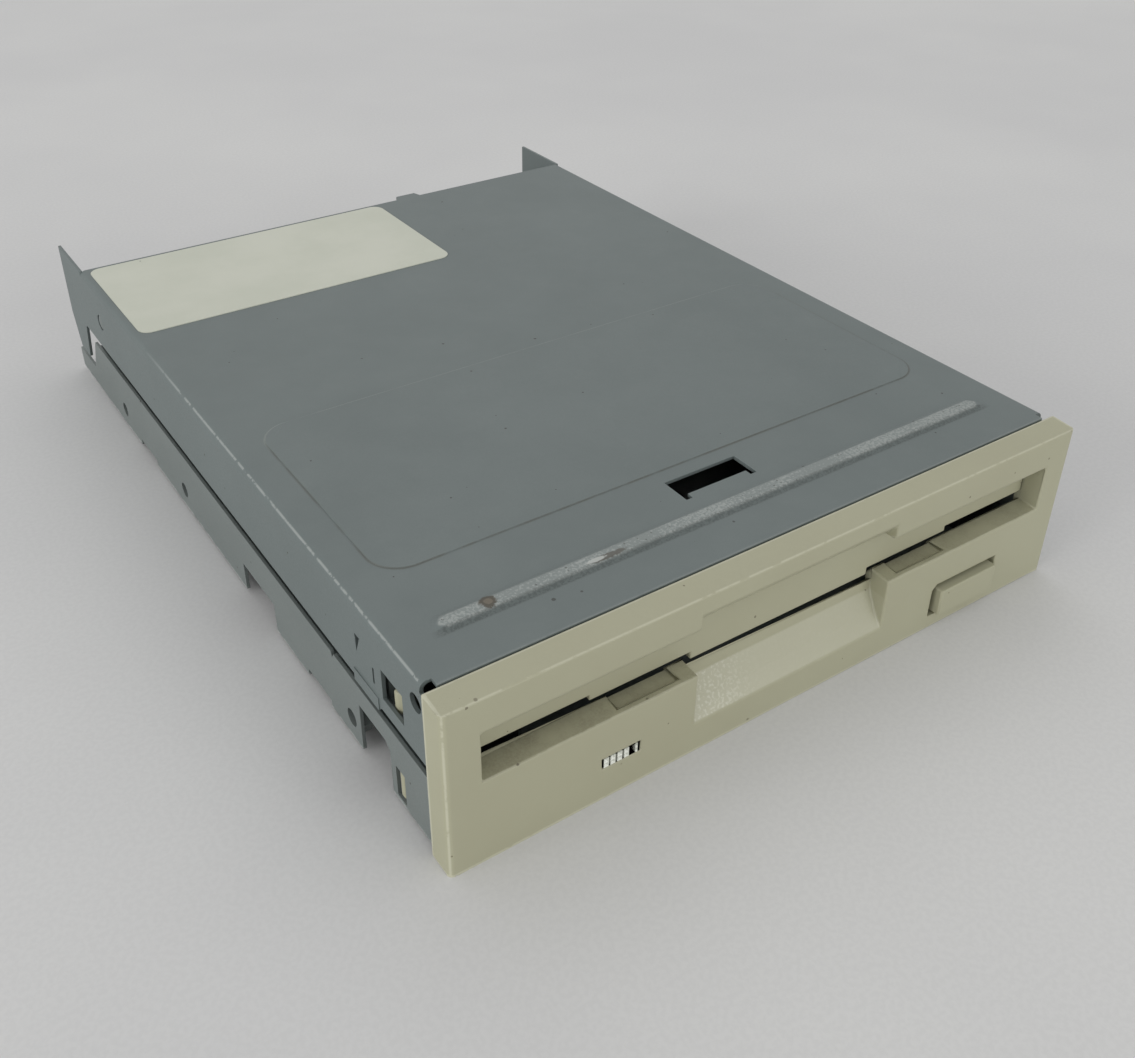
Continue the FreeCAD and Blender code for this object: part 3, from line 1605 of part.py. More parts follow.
# Small screws: heads on plain shanks, with a few flat sides because they are tiny
def pan_screw(name, across, deep, seat, tip, up):
    # the head stands on the seat, above it or below it, and the shank runs to the tip
    if up:
        shank = small_bar(name + "_shank", SHANK_SIDES, "small_r", "(%s) - (%s)" % (seat, tip),
                          (across, deep, tip))
        head = small_bar(name + "_head", BOSS_SIDES, "small_head_r", "small_head", (across, deep, seat))
    else:
        shank = small_bar(name + "_shank", SHANK_SIDES, "small_r", "(%s) - (%s)" % (tip, seat),
                          (across, deep, seat))
        head = small_bar(name + "_head", BOSS_SIDES, "small_head_r", "small_head",
                         (across, deep, seat + " - small_head"))
    return fuse(name, [head, shank])


def deck_screws():
    return group("deck_screws", [
        pan_screw("clamp_screw_a", "clamp_screw_x", "(clamp_a_front + clamp_a_rear) / 2",
                  "clamp_ear", "deck_low", True),
        pan_screw("clamp_screw_b", "clamp_screw_x", "(clamp_b_front + clamp_b_rear) / 2",
                  "clamp_ear", "deck_low", True),
        pan_screw("foot_screw_a", "-foot_screw_left_x", "foot_screw_left_y",
                  "deck_top + skin", "deck_low", True),
        pan_screw("foot_screw_b", "foot_screw_right_x", "foot_screw_right_y",
                  "deck_top + skin", "deck_low", True)])


def board_screws():
    screws = []
    for index, (across, deep) in enumerate(FRONT_BOSSES + REAR_BOSSES):
        screws.append(pan_screw("board_screw_%d" % index, across, deep, "motor_board_low",
                                "motor_board_low + board_screw_grip", False))
    return group("board_screws", screws)


# Disk rests on the deck
def disk_posts():
    posts = []
    for side in ("-post_x", "post_x"):
        for along in ("post_a", "post_b"):
            posts.append(small_bar("post_%d" % len(posts), BOSS_SIDES, "post_r", "post_top - deck_top",
                                   (side, along, "deck_top")))
    return group("disk_posts", posts)


# Switches that sense the disk and its write tab
def plunger_block(name, middle, half, low, high):
    return block(name, (middle + " - (" + half + ")", "plunger_y - (" + half + ")", low),
                 (middle + " + (" + half + ")", "plunger_y + (" + half + ")", high))


def switch_bodies():
    shells = []
    for name, low, high, middle in (
            ("left", "-switch_out", "-switch_in", "-plunger_x"),
            ("right", "switch_in", "switch_out", "plunger_x")):
        shell = block("switch_shell_" + name, (low, "switch_front", "deck_top"), (high, "switch_rear", "switch_top"))
        bore = plunger_block("switch_bore_" + name, middle, "plunger_half + plunger_play", "deck_top",
                             "switch_top")
        cut = doc.addObject("Part::Cut", "switch_" + name)
        cut.Base = shell
        cut.Tool = bore
        shells.append(cut)
    return group("switch_bodies", shells)


def switch_plunger(name, middle):
    pin = plunger_block(name, middle, "plunger_half", "plunger_low", "plunger_top")
    pin.Label = name
    return pin


# Light gate that sees the carriage at track 0
def track_sensor():
    body = new_body("track_sensor")
    pad(body, "XZ", "eye_front", "eye_rear", [[
        ("eye_left", "main_board_top"),
        ("eye_right", "main_board_top"),
        ("eye_right", "eye_top"),
        ("eye_slot_right", "eye_top"),
        ("eye_slot_right", "eye_floor"),
        ("eye_slot_left", "eye_floor"),
        ("eye_slot_left", "eye_top"),
        ("eye_left", "eye_top")]])
    return body


pieces = [
    top_cover(),
    blank_label(),
    chassis_frame(),
    front_bezel(),
    dust_flap(),
    eject_button(),
    led_lens(),
    led_lamp(),
    disk_holder(),
    guide_pins(),
    eject_slider(),
    shutter_lever(),
    lever_rivet(),
    spindle_rotor(),
    rotor_magnet(),
    spindle_hub(),
    drive_pin(),
    bearing_sleeve(),
    stator_coils(),
    motor_board(),
    main_board(),
    board_chips(),
    signal_header(),
    signal_pins(),
    power_socket(),
    power_pins(),
    head_carriage(),
    lower_head(),
    head_arm(),
    upper_head(),
    arm_pin(),
    guide_rod(),
    rod_clamp("rod_clamp_front", "clamp_a_front", "clamp_a_rear"),
    rod_clamp("rod_clamp_rear", "clamp_b_front", "clamp_b_rear"),
    stepper_bracket(),
    stepper_motor(),
    lead_screw(),
    deck_screws(),
    board_screws(),
    disk_posts(),
    switch_bodies(),
    switch_plunger("plunger_left", "-plunger_x"),
    switch_plunger("plunger_right", "plunger_x"),
    track_sensor()]
doc.recompute()

# Every feature must have worked, and every cut must have taken something away
LEAST_CUT = 0.001
for item in doc.Objects:
    if "Invalid" in item.State or "Error" in item.State:
        raise SystemExit("failed feature: " + item.Name)
    if item.TypeId == "PartDesign::Pocket":
        if item.Shape.Volume > item.BaseFeature.Shape.Volume - LEAST_CUT:
            raise SystemExit("empty cut: " + item.Name)
os.makedirs("parts", exist_ok=True)
for piece in pieces:
    shape = piece.Shape
    if shape.isNull() or not shape.isValid():
        raise SystemExit("bad shape: " + piece.Label)
    shape.exportStep("parts/" + piece.Label + ".step")
    print(piece.Label, len(shape.Solids), round(shape.Volume, 2))
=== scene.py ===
# %% [markdown]
# # A bare 3.5 inch disk drive
#
# The real object is a slim steel box with a beige moulded front. This lesson dresses
# the packed model of that drive: each sheet, moulding and board keeps the place that
# the frame gives it, and gets soft edges, small details and a procedural finish.
# Everything is in metres, X to the right seen from the front, Y to the rear, Z up.

# %% Load the drive
import json
import math
import bmesh
import bpy
from mathutils import Euler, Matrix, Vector

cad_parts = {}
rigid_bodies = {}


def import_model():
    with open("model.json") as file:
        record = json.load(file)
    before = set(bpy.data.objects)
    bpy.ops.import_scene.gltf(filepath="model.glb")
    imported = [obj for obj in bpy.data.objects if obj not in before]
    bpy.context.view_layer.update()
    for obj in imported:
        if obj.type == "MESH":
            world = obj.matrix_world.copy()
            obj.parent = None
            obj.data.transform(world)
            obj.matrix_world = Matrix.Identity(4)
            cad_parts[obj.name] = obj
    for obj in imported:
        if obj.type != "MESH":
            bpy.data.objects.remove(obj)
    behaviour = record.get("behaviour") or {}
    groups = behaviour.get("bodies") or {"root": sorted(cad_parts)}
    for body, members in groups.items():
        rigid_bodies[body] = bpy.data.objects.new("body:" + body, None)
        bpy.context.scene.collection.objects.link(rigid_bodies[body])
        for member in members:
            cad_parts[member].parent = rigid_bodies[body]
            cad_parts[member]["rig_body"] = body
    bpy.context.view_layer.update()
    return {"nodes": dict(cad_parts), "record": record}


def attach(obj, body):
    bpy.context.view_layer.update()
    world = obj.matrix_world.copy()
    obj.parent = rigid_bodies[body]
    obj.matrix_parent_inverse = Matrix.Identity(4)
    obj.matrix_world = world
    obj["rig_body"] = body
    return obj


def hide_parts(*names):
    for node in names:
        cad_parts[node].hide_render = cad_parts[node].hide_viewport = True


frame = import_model()
nodes = frame["nodes"]
MM = 0.001
scene = bpy.context.scene

# %% [markdown]
# ## The camera
# The photograph looks down on the front left corner. Its place, turn and lens were
# worked out from the drive's own straight edges, so no guesswork by eye is needed. The
# photograph is a part of a wider picture, so the lens is shifted a little.

# %% Set up the camera
eye = bpy.data.cameras.new("eye")
eye.sensor_width = 36.0
eye.lens = 39.268
eye.shift_x = 0.011
eye.shift_y = -0.0784
eye.clip_start = 1 * MM
eye.clip_end = 20.0
camera = bpy.data.objects.new("camera", eye)
camera.location = (-0.092048, -0.08596, 0.114827)
camera.rotation_euler = Euler(tuple(math.radians(a) for a in (57.98, -0.206, -33.794)))
scene.collection.objects.link(camera)
scene.camera = camera
print("camera at metres", [round(value, 4) for value in camera.location])

# %% [markdown]
# ## Helpers for finishes
# A finish is a small tree of shader nodes. Two short helpers put a node in a tree and
# join two sockets, so that each finish below reads like a list of what it is made of.


# %% Put and join shader nodes
def put(tree, kind, **settings):
    node = tree.nodes.new(kind)
    for name, value in settings.items():
        setattr(node, name, value)
    return node


def join(tree, start, end):
    tree.links.new(start, end)


print("node helpers", put.__name__, join.__name__)

# %% [markdown]
# ## Sums with sockets
# Masks are made by arithmetic on what the surface knows about each point: where it is,
# which way it looks, how the noise falls there. Each step is one Math node. A step that
# comes in softly, and the product of two masks, are wanted most, so they have short names.


# %% Reckon with numbers and vectors
def reckon(tree, operation, first, second=None, third=None):
    # one arithmetic step on numbers or sockets
    node = put(tree, "ShaderNodeMath", operation=operation)
    for index, value in enumerate((first, second, third)):
        if value is None:
            continue
        if isinstance(value, (int, float)):
            node.inputs[index].default_value = value
        else:
            join(tree, value, node.inputs[index])
    return node.outputs[0]


def times(tree, first, second):
    return reckon(tree, "MULTIPLY", first, second)


def reckon_vector(tree, operation, first, second=None):
    # one arithmetic step on whole vectors
    node = put(tree, "ShaderNodeVectorMath", operation=operation)
    join(tree, first, node.inputs[0])
    if second is not None:
        join(tree, second, node.inputs[1])
    return node.outputs["Value" if operation == "LENGTH" else "Vector"]


def fade(tree, value, low, high, start=0.0, end=1.0):
    # a smooth step between two values
    node = put(tree, "ShaderNodeMapRange", interpolation_type="SMOOTHSTEP")
    join(tree, value, node.inputs["Value"])
    limits = {"From Min": low, "From Max": high, "To Min": start, "To Max": end}
    for name, number in limits.items():
        node.inputs[name].default_value = number
    return node.outputs["Result"]


print("sums", [helper.__name__ for helper in (reckon, times, reckon_vector, fade)])

# %% [markdown]
# ## Colours
# A colour that is read off a screen isn't an amount of light: the screen's curve has to
# be undone first. Colours are then laid over one another with a mask as the amount.


# %% Mix and read colours
def blend_colour(tree, amount, first, second):
    # the second colour over the first by an amount
    node = put(tree, "ShaderNodeMix", data_type="RGBA")
    for index, value in ((0, amount), (6, first), (7, second)):
        if isinstance(value, (int, float)):
            node.inputs[index].default_value = value
        elif isinstance(value, tuple):
            node.inputs[index].default_value = value + (1.0,)
        else:
            join(tree, value, node.inputs[index])
    return node.outputs[2]


def colour(red, green, blue):
    # a colour as seen on a screen, 0 to 255, turned into the light it stands for
    values = []
    for part in (red, green, blue):
        part = part / 255.0
        values.append(part / 12.92 if part <= 0.04045 else ((part + 0.055) / 1.055) ** 2.4)
    return tuple(values)


def told(shade):
    # a colour in few digits, for the prints below
    return tuple(round(value, 3) for value in shade)


print("a screen grey of 128 stands for", told(colour(128, 128, 128)))

# %% [markdown]
# ## Effects that many finishes share
# Grain, worn and highlit edges, dust and specks turn up on several materials. Each is a node
# group with named inputs and outputs, built once. They are driven by Object coordinates, so
# the pattern stays on its piece from any side and at any pose.


# %% Build a node group with named sockets
def effect(name, inputs, outputs):
    group = bpy.data.node_groups.new(name, "ShaderNodeTree")
    for label, kind, default in inputs:
        made = group.interface.new_socket(name=label, in_out="INPUT", socket_type=kind)
        if default is not None:
            made.default_value = default
    for label in outputs:
        group.interface.new_socket(name=label, in_out="OUTPUT", socket_type="NodeSocketFloat")
    return group, put(group, "NodeGroupInput"), put(group, "NodeGroupOutput")


PLACE = ("Place", "NodeSocketVector", None)


def noise(tree, place, scale, detail=2.0, roughness=0.5):
    node = put(tree, "ShaderNodeTexNoise")
    join(tree, place, node.inputs["Vector"])
    for name, value in (("Scale", scale), ("Detail", detail), ("Roughness", roughness)):
        if isinstance(value, (int, float)):
            node.inputs[name].default_value = value
        else:
            join(tree, value, node.inputs[name])
    return node.outputs["Fac"]


print("every effect starts with an input called", PLACE[0])

# %% [markdown]
# ## Grain
# No real surface has one flat colour. A fine noise gives the speckle that catches the
# light, and a slow one gives clouds that shift the colour a little from place to place.


# %% Grain: fine speckle and slow clouds
def build_grain():
    group, given, made = effect(
        "Grain", [PLACE, ("Fine", "NodeSocketFloat", 3000.0), ("Slow", "NodeSocketFloat", 60.0)],
        ["Speckle", "Clouds"])
    speckle = noise(group, given.outputs["Place"], given.outputs["Fine"], 3.0)
    join(group, speckle, made.inputs["Speckle"])
    clouds = noise(group, given.outputs["Place"], given.outputs["Slow"], 4.0, 0.6)
    join(group, fade(group, clouds, 0.3, 0.7), made.inputs["Clouds"])
    return group


grain = build_grain()
print(grain.name, "nodes", len(grain.nodes))

# %% [markdown]
# ## Specks
# Old steel and old plastic are sprinkled with dots of dirt. Each cell of a Voronoi
# pattern holds at most one dot, and the cell's own colour decides whether it has one.


# %% Specks: sparse small dots of dirt or chipped finish
def build_specks():
    group, given, made = effect(
        "Specks", [PLACE, ("Scale", "NodeSocketFloat", 200.0), ("Rare", "NodeSocketFloat", 0.9),
                   ("Size", "NodeSocketFloat", 0.2)], ["Mask"])
    cells = put(group, "ShaderNodeTexVoronoi", feature="F1")
    join(group, given.outputs["Place"], cells.inputs["Vector"])
    join(group, given.outputs["Scale"], cells.inputs["Scale"])
    parts = put(group, "ShaderNodeSeparateColor")
    join(group, cells.outputs["Color"], parts.inputs[0])
    chosen = reckon(group, "GREATER_THAN", parts.outputs[0], given.outputs["Rare"])
    reach = times(group, given.outputs["Size"], parts.outputs[1])
    finer = times(group, given.outputs["Scale"], 6.0)
    ragged = noise(group, given.outputs["Place"], finer)
    far = reckon(group, "ADD", cells.outputs["Distance"], times(group, ragged, 0.12))
    inside = reckon(group, "LESS_THAN", far, reckon(group, "ADD", reach, 0.06))
    join(group, times(group, chosen, inside), made.inputs["Mask"])
    return group


specks = build_specks()
print(specks.name, "nodes", len(specks.nodes))

# %% [markdown]
# ## One ragged mark
# A nick or a spot of rust sits in one known place. The distance from that place, made
# uneven by noise, gives a mark with a torn outline, which can be stretched along an axis.


# %% Spot: one ragged mark at a given place
def build_spot():
    group, given, made = effect(
        "Spot", [PLACE, ("Centre", "NodeSocketVector", None), ("Radius", "NodeSocketFloat", 0.001),
                 ("Stretch", "NodeSocketVector", (1.0, 1.0, 1.0))], ["Mask"])
    away = reckon_vector(group, "SUBTRACT", given.outputs["Place"], given.outputs["Centre"])
    spread = reckon_vector(group, "MULTIPLY", away, given.outputs["Stretch"])
    length = reckon_vector(group, "LENGTH", spread)
    ragged = noise(group, given.outputs["Place"], 1800.0, 3.0, 0.7)
    part = reckon(group, "DIVIDE", length, given.outputs["Radius"])
    rough = reckon(group, "ADD", part, times(group, ragged, 0.9))
    join(group, fade(group, rough, 1.15, 1.45, 1.0, 0.0), made.inputs["Mask"])
    return group


spot = build_spot()
print(spot.name, "nodes", len(spot.nodes))

# %% [markdown]
# ## Dust
# Dust settles on what looks up. The upward part of the Normal says how much a face can
# hold, slow noise leaves it in patches, and fine noise breaks it into grains.


# %% Dust: settles on faces that look up, in patches
def build_dust():
    group, given, made = effect(
        "Dust", [PLACE, ("Normal", "NodeSocketVector", None),
                 ("Amount", "NodeSocketFloat", 0.3)], ["Mask"])
    parts = put(group, "ShaderNodeSeparateXYZ")
    join(group, given.outputs["Normal"], parts.inputs[0])
    up = fade(group, parts.outputs[2], 0.3, 1.0)
    patches = fade(group, noise(group, given.outputs["Place"], 140.0, 5.0, 0.7), 0.35, 0.75)
    fine = noise(group, given.outputs["Place"], 4000.0, 1.0)
    both = times(group, times(group, up, patches), fine)
    join(group, times(group, both, given.outputs["Amount"]), made.inputs["Mask"])
    return group


dust = build_dust()
print(dust.name, "nodes", len(dust.nodes))

# %% [markdown]
# ## Worn edges and painted edge highlights
# Handling rubs edges first, and some edges also get a painted highlight here. A bend or a
# corner of the drive is an edge of a plain box, so a point is near it where it is close to
# two of the box's sides at once. This is steadier than reading the mesh for sharp places,
# which changes with every triangle.


# %% Box edges: how near a point is to the edges of a box, for rubbed places and painted highlights
def build_box_edges():
    group, given, made = effect(
        "Box edges", [PLACE, ("Centre", "NodeSocketVector", None), ("Half", "NodeSocketVector", None),
                      ("Width", "NodeSocketFloat", 0.001)], ["Mask"])
    away = reckon_vector(group, "SUBTRACT", given.outputs["Place"], given.outputs["Centre"])
    size = reckon_vector(group, "ABSOLUTE", away)
    short = reckon_vector(group, "SUBTRACT", given.outputs["Half"], size)
    gaps = put(group, "ShaderNodeSeparateXYZ")
    join(group, reckon_vector(group, "ABSOLUTE", short), gaps.inputs[0])
    near = []
    for index in range(3):
        share = reckon(group, "DIVIDE", gaps.outputs[index], given.outputs["Width"])
        near.append(fade(group, share, 0.0, 1.0, 1.0, 0.0))
    pairs = [times(group, near[a], near[b]) for a, b in ((0, 1), (1, 2), (0, 2))]
    both = reckon(group, "MAXIMUM", pairs[0], reckon(group, "MAXIMUM", pairs[1], pairs[2]))
    join(group, both, made.inputs["Mask"])
    return group


box_edges = build_box_edges()
print("effects", [group.name for group in bpy.data.node_groups])

# %% [markdown]
# ## A finish, step by step
# Every finish starts the same way: one Principled shader, Object coordinates, the
# grain. A Finish keeps these together so that later cells only add what is special.


# %% Start a finish
class Finish:
    def __init__(self, name, shade, dark, metallic=0.0, roughness=0.5, fine=3000.0, slow=60.0,
                 bump=0.1, depth=0.02):
        self.material = bpy.data.materials.new(name)
        self.material.use_nodes = True
        self.tree = self.material.node_tree
        self.tree.nodes.clear()
        self.shader = put(self.tree, "ShaderNodeBsdfPrincipled")
        output = put(self.tree, "ShaderNodeOutputMaterial")
        join(self.tree, self.shader.outputs[0], output.inputs["Surface"])
        self.place = put(self.tree, "ShaderNodeTexCoord").outputs["Object"]
        self.normal = put(self.tree, "ShaderNodeNewGeometry").outputs["Normal"]
        self.shader.inputs["Metallic"].default_value = metallic
        self.grain = self.use(grain, Fine=fine, Slow=slow)
        self.base = blend_colour(self.tree, self.grain.outputs["Clouds"], dark, shade)
        fine_part = fade(self.tree, self.grain.outputs["Speckle"], 0.3, 0.7, -0.04, 0.04)
        self.rough = reckon(self.tree, "ADD", fine_part, roughness)
        bumps = put(self.tree, "ShaderNodeBump")
        bumps.inputs["Strength"].default_value = bump
        bumps.inputs["Distance"].default_value = depth * MM
        join(self.tree, self.grain.outputs["Speckle"], bumps.inputs["Height"])
        join(self.tree, bumps.outputs[0], self.shader.inputs["Normal"])

    def use(self, group, **values):
        # places an effect in this finish, on the piece's own coordinates
        node = put(self.tree, "ShaderNodeGroup")
        node.node_tree = group
        join(self.tree, self.place, node.inputs["Place"])
        for name, value in values.items():
            if name == "Normal":
                join(self.tree, self.normal, node.inputs[name])
            else:
                node.inputs[name].default_value = value
        return node

    def edge_wear_and_highlights(self, low, high, width, broken=(0.35, 0.6)):
        # mask of the edges of a box, broken up by noise; corners given in millimetres
        near = self.use(box_edges, Width=width * MM)
        near.inputs["Centre"].default_value = [(a + b) / 2 * MM for a, b in zip(low, high)]
        near.inputs["Half"].default_value = [(b - a) / 2 * MM for a, b in zip(low, high)]
        patches = fade(self.tree, noise(self.tree, self.place, 420.0, 4.0, 0.7), *broken)
        return times(self.tree, near.outputs["Mask"], patches)

    def axes(self):
        # the point's X, Y and Z, in metres
        parts = put(self.tree, "ShaderNodeSeparateXYZ")
        join(self.tree, self.place, parts.inputs[0])
        return parts.outputs

    def tint(self, amount, shade):
        # lays a colour over what is there so far
        self.base = blend_colour(self.tree, amount, self.base, shade)

    def spot(self, centre, radius, stretch, shade, share):
        # one ragged mark, its centre and size given in millimetres
        mark = self.use(spot, Radius=radius * MM)
        mark.inputs["Centre"].default_value = [v * MM for v in centre]
        mark.inputs["Stretch"].default_value = stretch
        self.tint(times(self.tree, mark.outputs["Mask"], share), shade)

    def done(self):
        join(self.tree, self.base, self.shader.inputs["Base Color"])
        join(self.tree, self.rough, self.shader.inputs["Roughness"])
        return self.material


print("steps of a finish", [name for name in vars(Finish) if not name.startswith("_")])

# %% [markdown]
# ## Sheet steel
# The cover and the frame are pressed from zinc-coated sheet with a thin grey-blue
# treatment. It is satin, not shiny, and shows bright metal where it is scuffed.


# %% Sheet steel under its wear
COVER_SHADE = colour(106, 115, 114)
COVER_DARK = colour(102, 111, 110)
SETTLED = colour(150, 156, 152)
BRIGHT_METAL = colour(196, 200, 196)
RUST = colour(120, 112, 98)
DIRT = colour(58, 58, 54)


def cover_finish(name, light, dark):
    made = Finish(name, light, dark, metallic=0.1, roughness=0.5, fine=5200.0, slow=42.0, bump=0.1)
    dots = made.use(specks, Scale=300.0, Rare=0.25, Size=0.06)
    made.tint(dots.outputs["Mask"], DIRT)
    settled = made.use(dust, Normal=True, Amount=0.1)
    made.tint(settled.outputs["Mask"], SETTLED)
    return made


print("cover steel as light", told(COVER_SHADE))

# %% [markdown]
# ## The line round the raised panel
# The cover's middle is pressed up by a hair. The step round it gets painted shade in front
# and a painted highlight to the rear. The line is drawn where the distance from a
# rounded rectangle is nearly nothing, which needs no drawing and no picture.


# %% Painted shade and highlight round the panel
PANEL_CENTRE = (-0.1, 38.5)
PANEL_HALF = (45.2, 19.3)
PANEL_CORNER = 4.5
LINE_HALF = (0.06, 0.24)
LINE_PAINTED_SHADE = colour(84, 82, 72)
LINE_PAINTED_HIGHLIGHT = colour(150, 156, 150)


def band(made, value, low, high, soft):
    # 1 where a coordinate lies between two values in millimetres, with soft ends
    inside = fade(made.tree, value, (low - soft) * MM, (low + soft) * MM)
    outside = fade(made.tree, value, (high - soft) * MM, (high + soft) * MM, 1.0, 0.0)
    return times(made.tree, inside, outside)


def panel_line(made, axes):
    tree = made.tree
    reach = []
    for index in range(2):
        off = reckon(tree, "ABSOLUTE", reckon(tree, "SUBTRACT", axes[index], PANEL_CENTRE[index] * MM))
        past = reckon(tree, "SUBTRACT", off, (PANEL_HALF[index] - PANEL_CORNER) * MM)
        reach.append(reckon(tree, "MAXIMUM", past, 0.0))
    squares = [times(tree, value, value) for value in reach]
    away = reckon(tree, "SQRT", reckon(tree, "ADD", squares[0], squares[1]))
    gap = reckon(tree, "ABSOLUTE", reckon(tree, "SUBTRACT", away, (PANEL_CORNER + 0.08) * MM))
    line = fade(tree, gap, LINE_HALF[0] * MM, LINE_HALF[1] * MM, 1.0, 0.0)
    gone = fade(tree, noise(tree, made.place, 120.0, 3.0, 0.7), 0.3, 0.55)
    top = fade(tree, axes[2], 24.7 * MM, 24.9 * MM)
    return times(tree, times(tree, line, top), gone)


def panel_line_shade_and_highlight(made, axes):
    tree = made.tree
    line = panel_line(made, axes)
    behind = fade(tree, axes[1], 50.0 * MM, 57.0 * MM)
    # painted shade on the front of the step, fading out to the rear, then a painted highlight on its
    # rear
    made.tint(times(tree, line, reckon(tree, "MULTIPLY_ADD", behind, -0.45, 0.45)), LINE_PAINTED_SHADE)
    made.tint(times(tree, times(tree, line, behind), 0.4), LINE_PAINTED_HIGHLIGHT)


print("panel line mm", [2 * half for half in PANEL_HALF], "corner", PANEL_CORNER)

# %% [markdown]
# ## The rib behind the bezel
# A rib runs across the front of the cover. Its front slope gets painted shade, broken up by
# noise, and the treatment is worn off its crest, so the masks read the height and the place of a
# point.


# %% Painted shade and wear on the rib
RIB_SLOPE = (6.4, 7.5)
RIB_SPAN = (-45.0, 44.8)
SLOPE_PAINTED_SHADE = colour(72, 78, 76)


def painted_slope_shade(made, axes):
    tree = made.tree
    # painted shade on the rib's front slope, broken up by noise
    along = band(made, axes[1], *RIB_SLOPE, 0.15)
    slope = times(tree, along, band(made, axes[0], *RIB_SPAN, 0.8))
    on_top = fade(tree, axes[2], 24.9 * MM, 25.05 * MM)
    shade_breakup = fade(tree, noise(tree, made.place, 3200.0, 2.0, 0.6), 0.4, 0.6, 0.35, 0.75)
    made.tint(times(tree, times(tree, slope, on_top), shade_breakup), SLOPE_PAINTED_SHADE)


def chipped_crest(made, crest):
    tree = made.tree
    rubbed = noise(tree, made.place, 2600.0, 2.0, 0.6)
    patchy = noise(tree, made.place, 90.0, 2.0, 0.5)
    chips = fade(tree, reckon(tree, "ADD", rubbed, times(tree, patchy, 0.5)), 0.7, 0.88)
    return times(tree, crest, reckon(tree, "ADD", times(tree, chips, 0.26), 0.2))


print("rib slope mm", RIB_SLOPE)

# %% [markdown]
# ## The cover's long bends and small marks
# The two long bends get rubbed bright metal and a painted highlight, stronger in front than
# to the rear. The marks are the few that can be told apart: a rusty nick and a scratch on
# the rib, and spots of dirt.


# %% Cover steel
BENDS = ((-50.3, -20.0, -25.0), (50.3, 160.0, 25.0))
FRONT_EDGE = ((-70.0, 0.15, -25.0), (70.0, 160.0, 25.0))
RIB_NICK = (-37.6, 8.4, 25.4)
ROUND = (1.0, 1.0, 1.0)
COVER_MARKS = (
    # centre and radius in millimetres, stretch, shade, share
    (RIB_NICK, 1.2, (1.0, 0.9, 1.0), colour(74, 67, 54), 0.9),
    (RIB_NICK, 0.6, ROUND, RUST, 0.6),
    ((-21.5, 7.8, 25.3), 0.7, (0.22, 1.3, 1.0), colour(84, 80, 72), 0.8),
    ((-23.0, 7.9, 25.3), 0.5, (0.3, 1.3, 1.0), BRIGHT_METAL, 0.7),
    ((-16.0, 39.4, 25.0), 0.24, ROUND, DIRT, 1.0),
    ((-31.0, 5.0, 25.0), 0.3, ROUND, DIRT, 0.8),
    ((-27.5, 4.4, 25.0), 0.2, ROUND, DIRT, 0.8),
    ((-4.0, 5.2, 25.0), 0.2, ROUND, DIRT, 0.8),
)


def bends_worn_and_highlit(made, axes):
    tree = made.tree
    # the long bends: rubbed bright metal and a painted highlight, stronger in front
    bend = fade(tree, made.edge_wear_and_highlights(*BENDS, 1.0, (0.2, 0.5)), 0.5, 0.66)
    bend = times(tree, bend, fade(tree, axes[1], 95.0 * MM, 70.0 * MM))
    front = made.edge_wear_and_highlights(*FRONT_EDGE, 0.35, (0.2, 0.55))
    return reckon(tree, "MAXIMUM", times(tree, bend, 0.5), times(tree, front, 0.12))


def cover_steel():
    made = cover_finish("cover_steel", COVER_SHADE, COVER_DARK)
    tree = made.tree
    axes = made.axes()
    # painted shade and painted highlight along the panel's step
    panel_line_shade_and_highlight(made, axes)
    # painted shade on the rib's front slope
    painted_slope_shade(made, axes)
    crest = fade(tree, axes[2], 25.2 * MM, 25.38 * MM)
    worn_and_highlit = reckon(tree, "MAXIMUM", chipped_crest(made, crest), bends_worn_and_highlit(made, axes))
    # rubbed metal on the crest, and rubbed metal with a painted highlight on the bends
    made.tint(worn_and_highlit, BRIGHT_METAL)
    pits = made.use(specks, Scale=1500.0, Rare=0.3, Size=0.25)
    made.tint(times(tree, times(tree, crest, pits.outputs["Mask"]), 0.6), colour(70, 72, 68))
    for mark in COVER_MARKS:
        made.spot(*mark)
    join(tree, reckon(tree, "MULTIPLY_ADD", worn_and_highlit, 0.6, 0.1), made.shader.inputs["Metallic"])
    return made.done()


print("marks on the cover", len(COVER_MARKS))

# %% [markdown]
# ## The frame and the bare metals
# The frame is the cover's sheet a shade lighter. Pins, motors and rods are bare metal:
# they differ only in colour, in how metallic and how rough they are.


# %% Frame steel and other bare metals
FRAME_SHADE = colour(115, 122, 120)
FRAME_DARK = colour(109, 116, 114)
FRAME_BOX = ((-50.3, 0.8, 0.7), (50.3, 138.0, 20.6))


def frame_steel():
    made = cover_finish("frame_steel", FRAME_SHADE, FRAME_DARK)
    edge = made.edge_wear_and_highlights(*FRAME_BOX, 0.5)
    made.tint(times(made.tree, edge, 0.6), BRIGHT_METAL)
    return made.done()


def plain_metal(name, light, dark, metallic, roughness, fine):
    made = Finish(name, light, dark, metallic=metallic, roughness=roughness, fine=fine, slow=90.0)
    dots = made.use(specks, Scale=400.0, Rare=0.9, Size=0.15)
    made.tint(dots.outputs["Mask"], tuple(v * 0.6 for v in dark))
    return made.done()


print("frame steel as light", told(FRAME_SHADE))


# %% [markdown]
# ## Aged beige plastic
# The bezel, the flap and the button are one kind of ABS plastic that has yellowed a
# little. It has a fine spark-eroded texture, grimy specks and a few dark nicks.


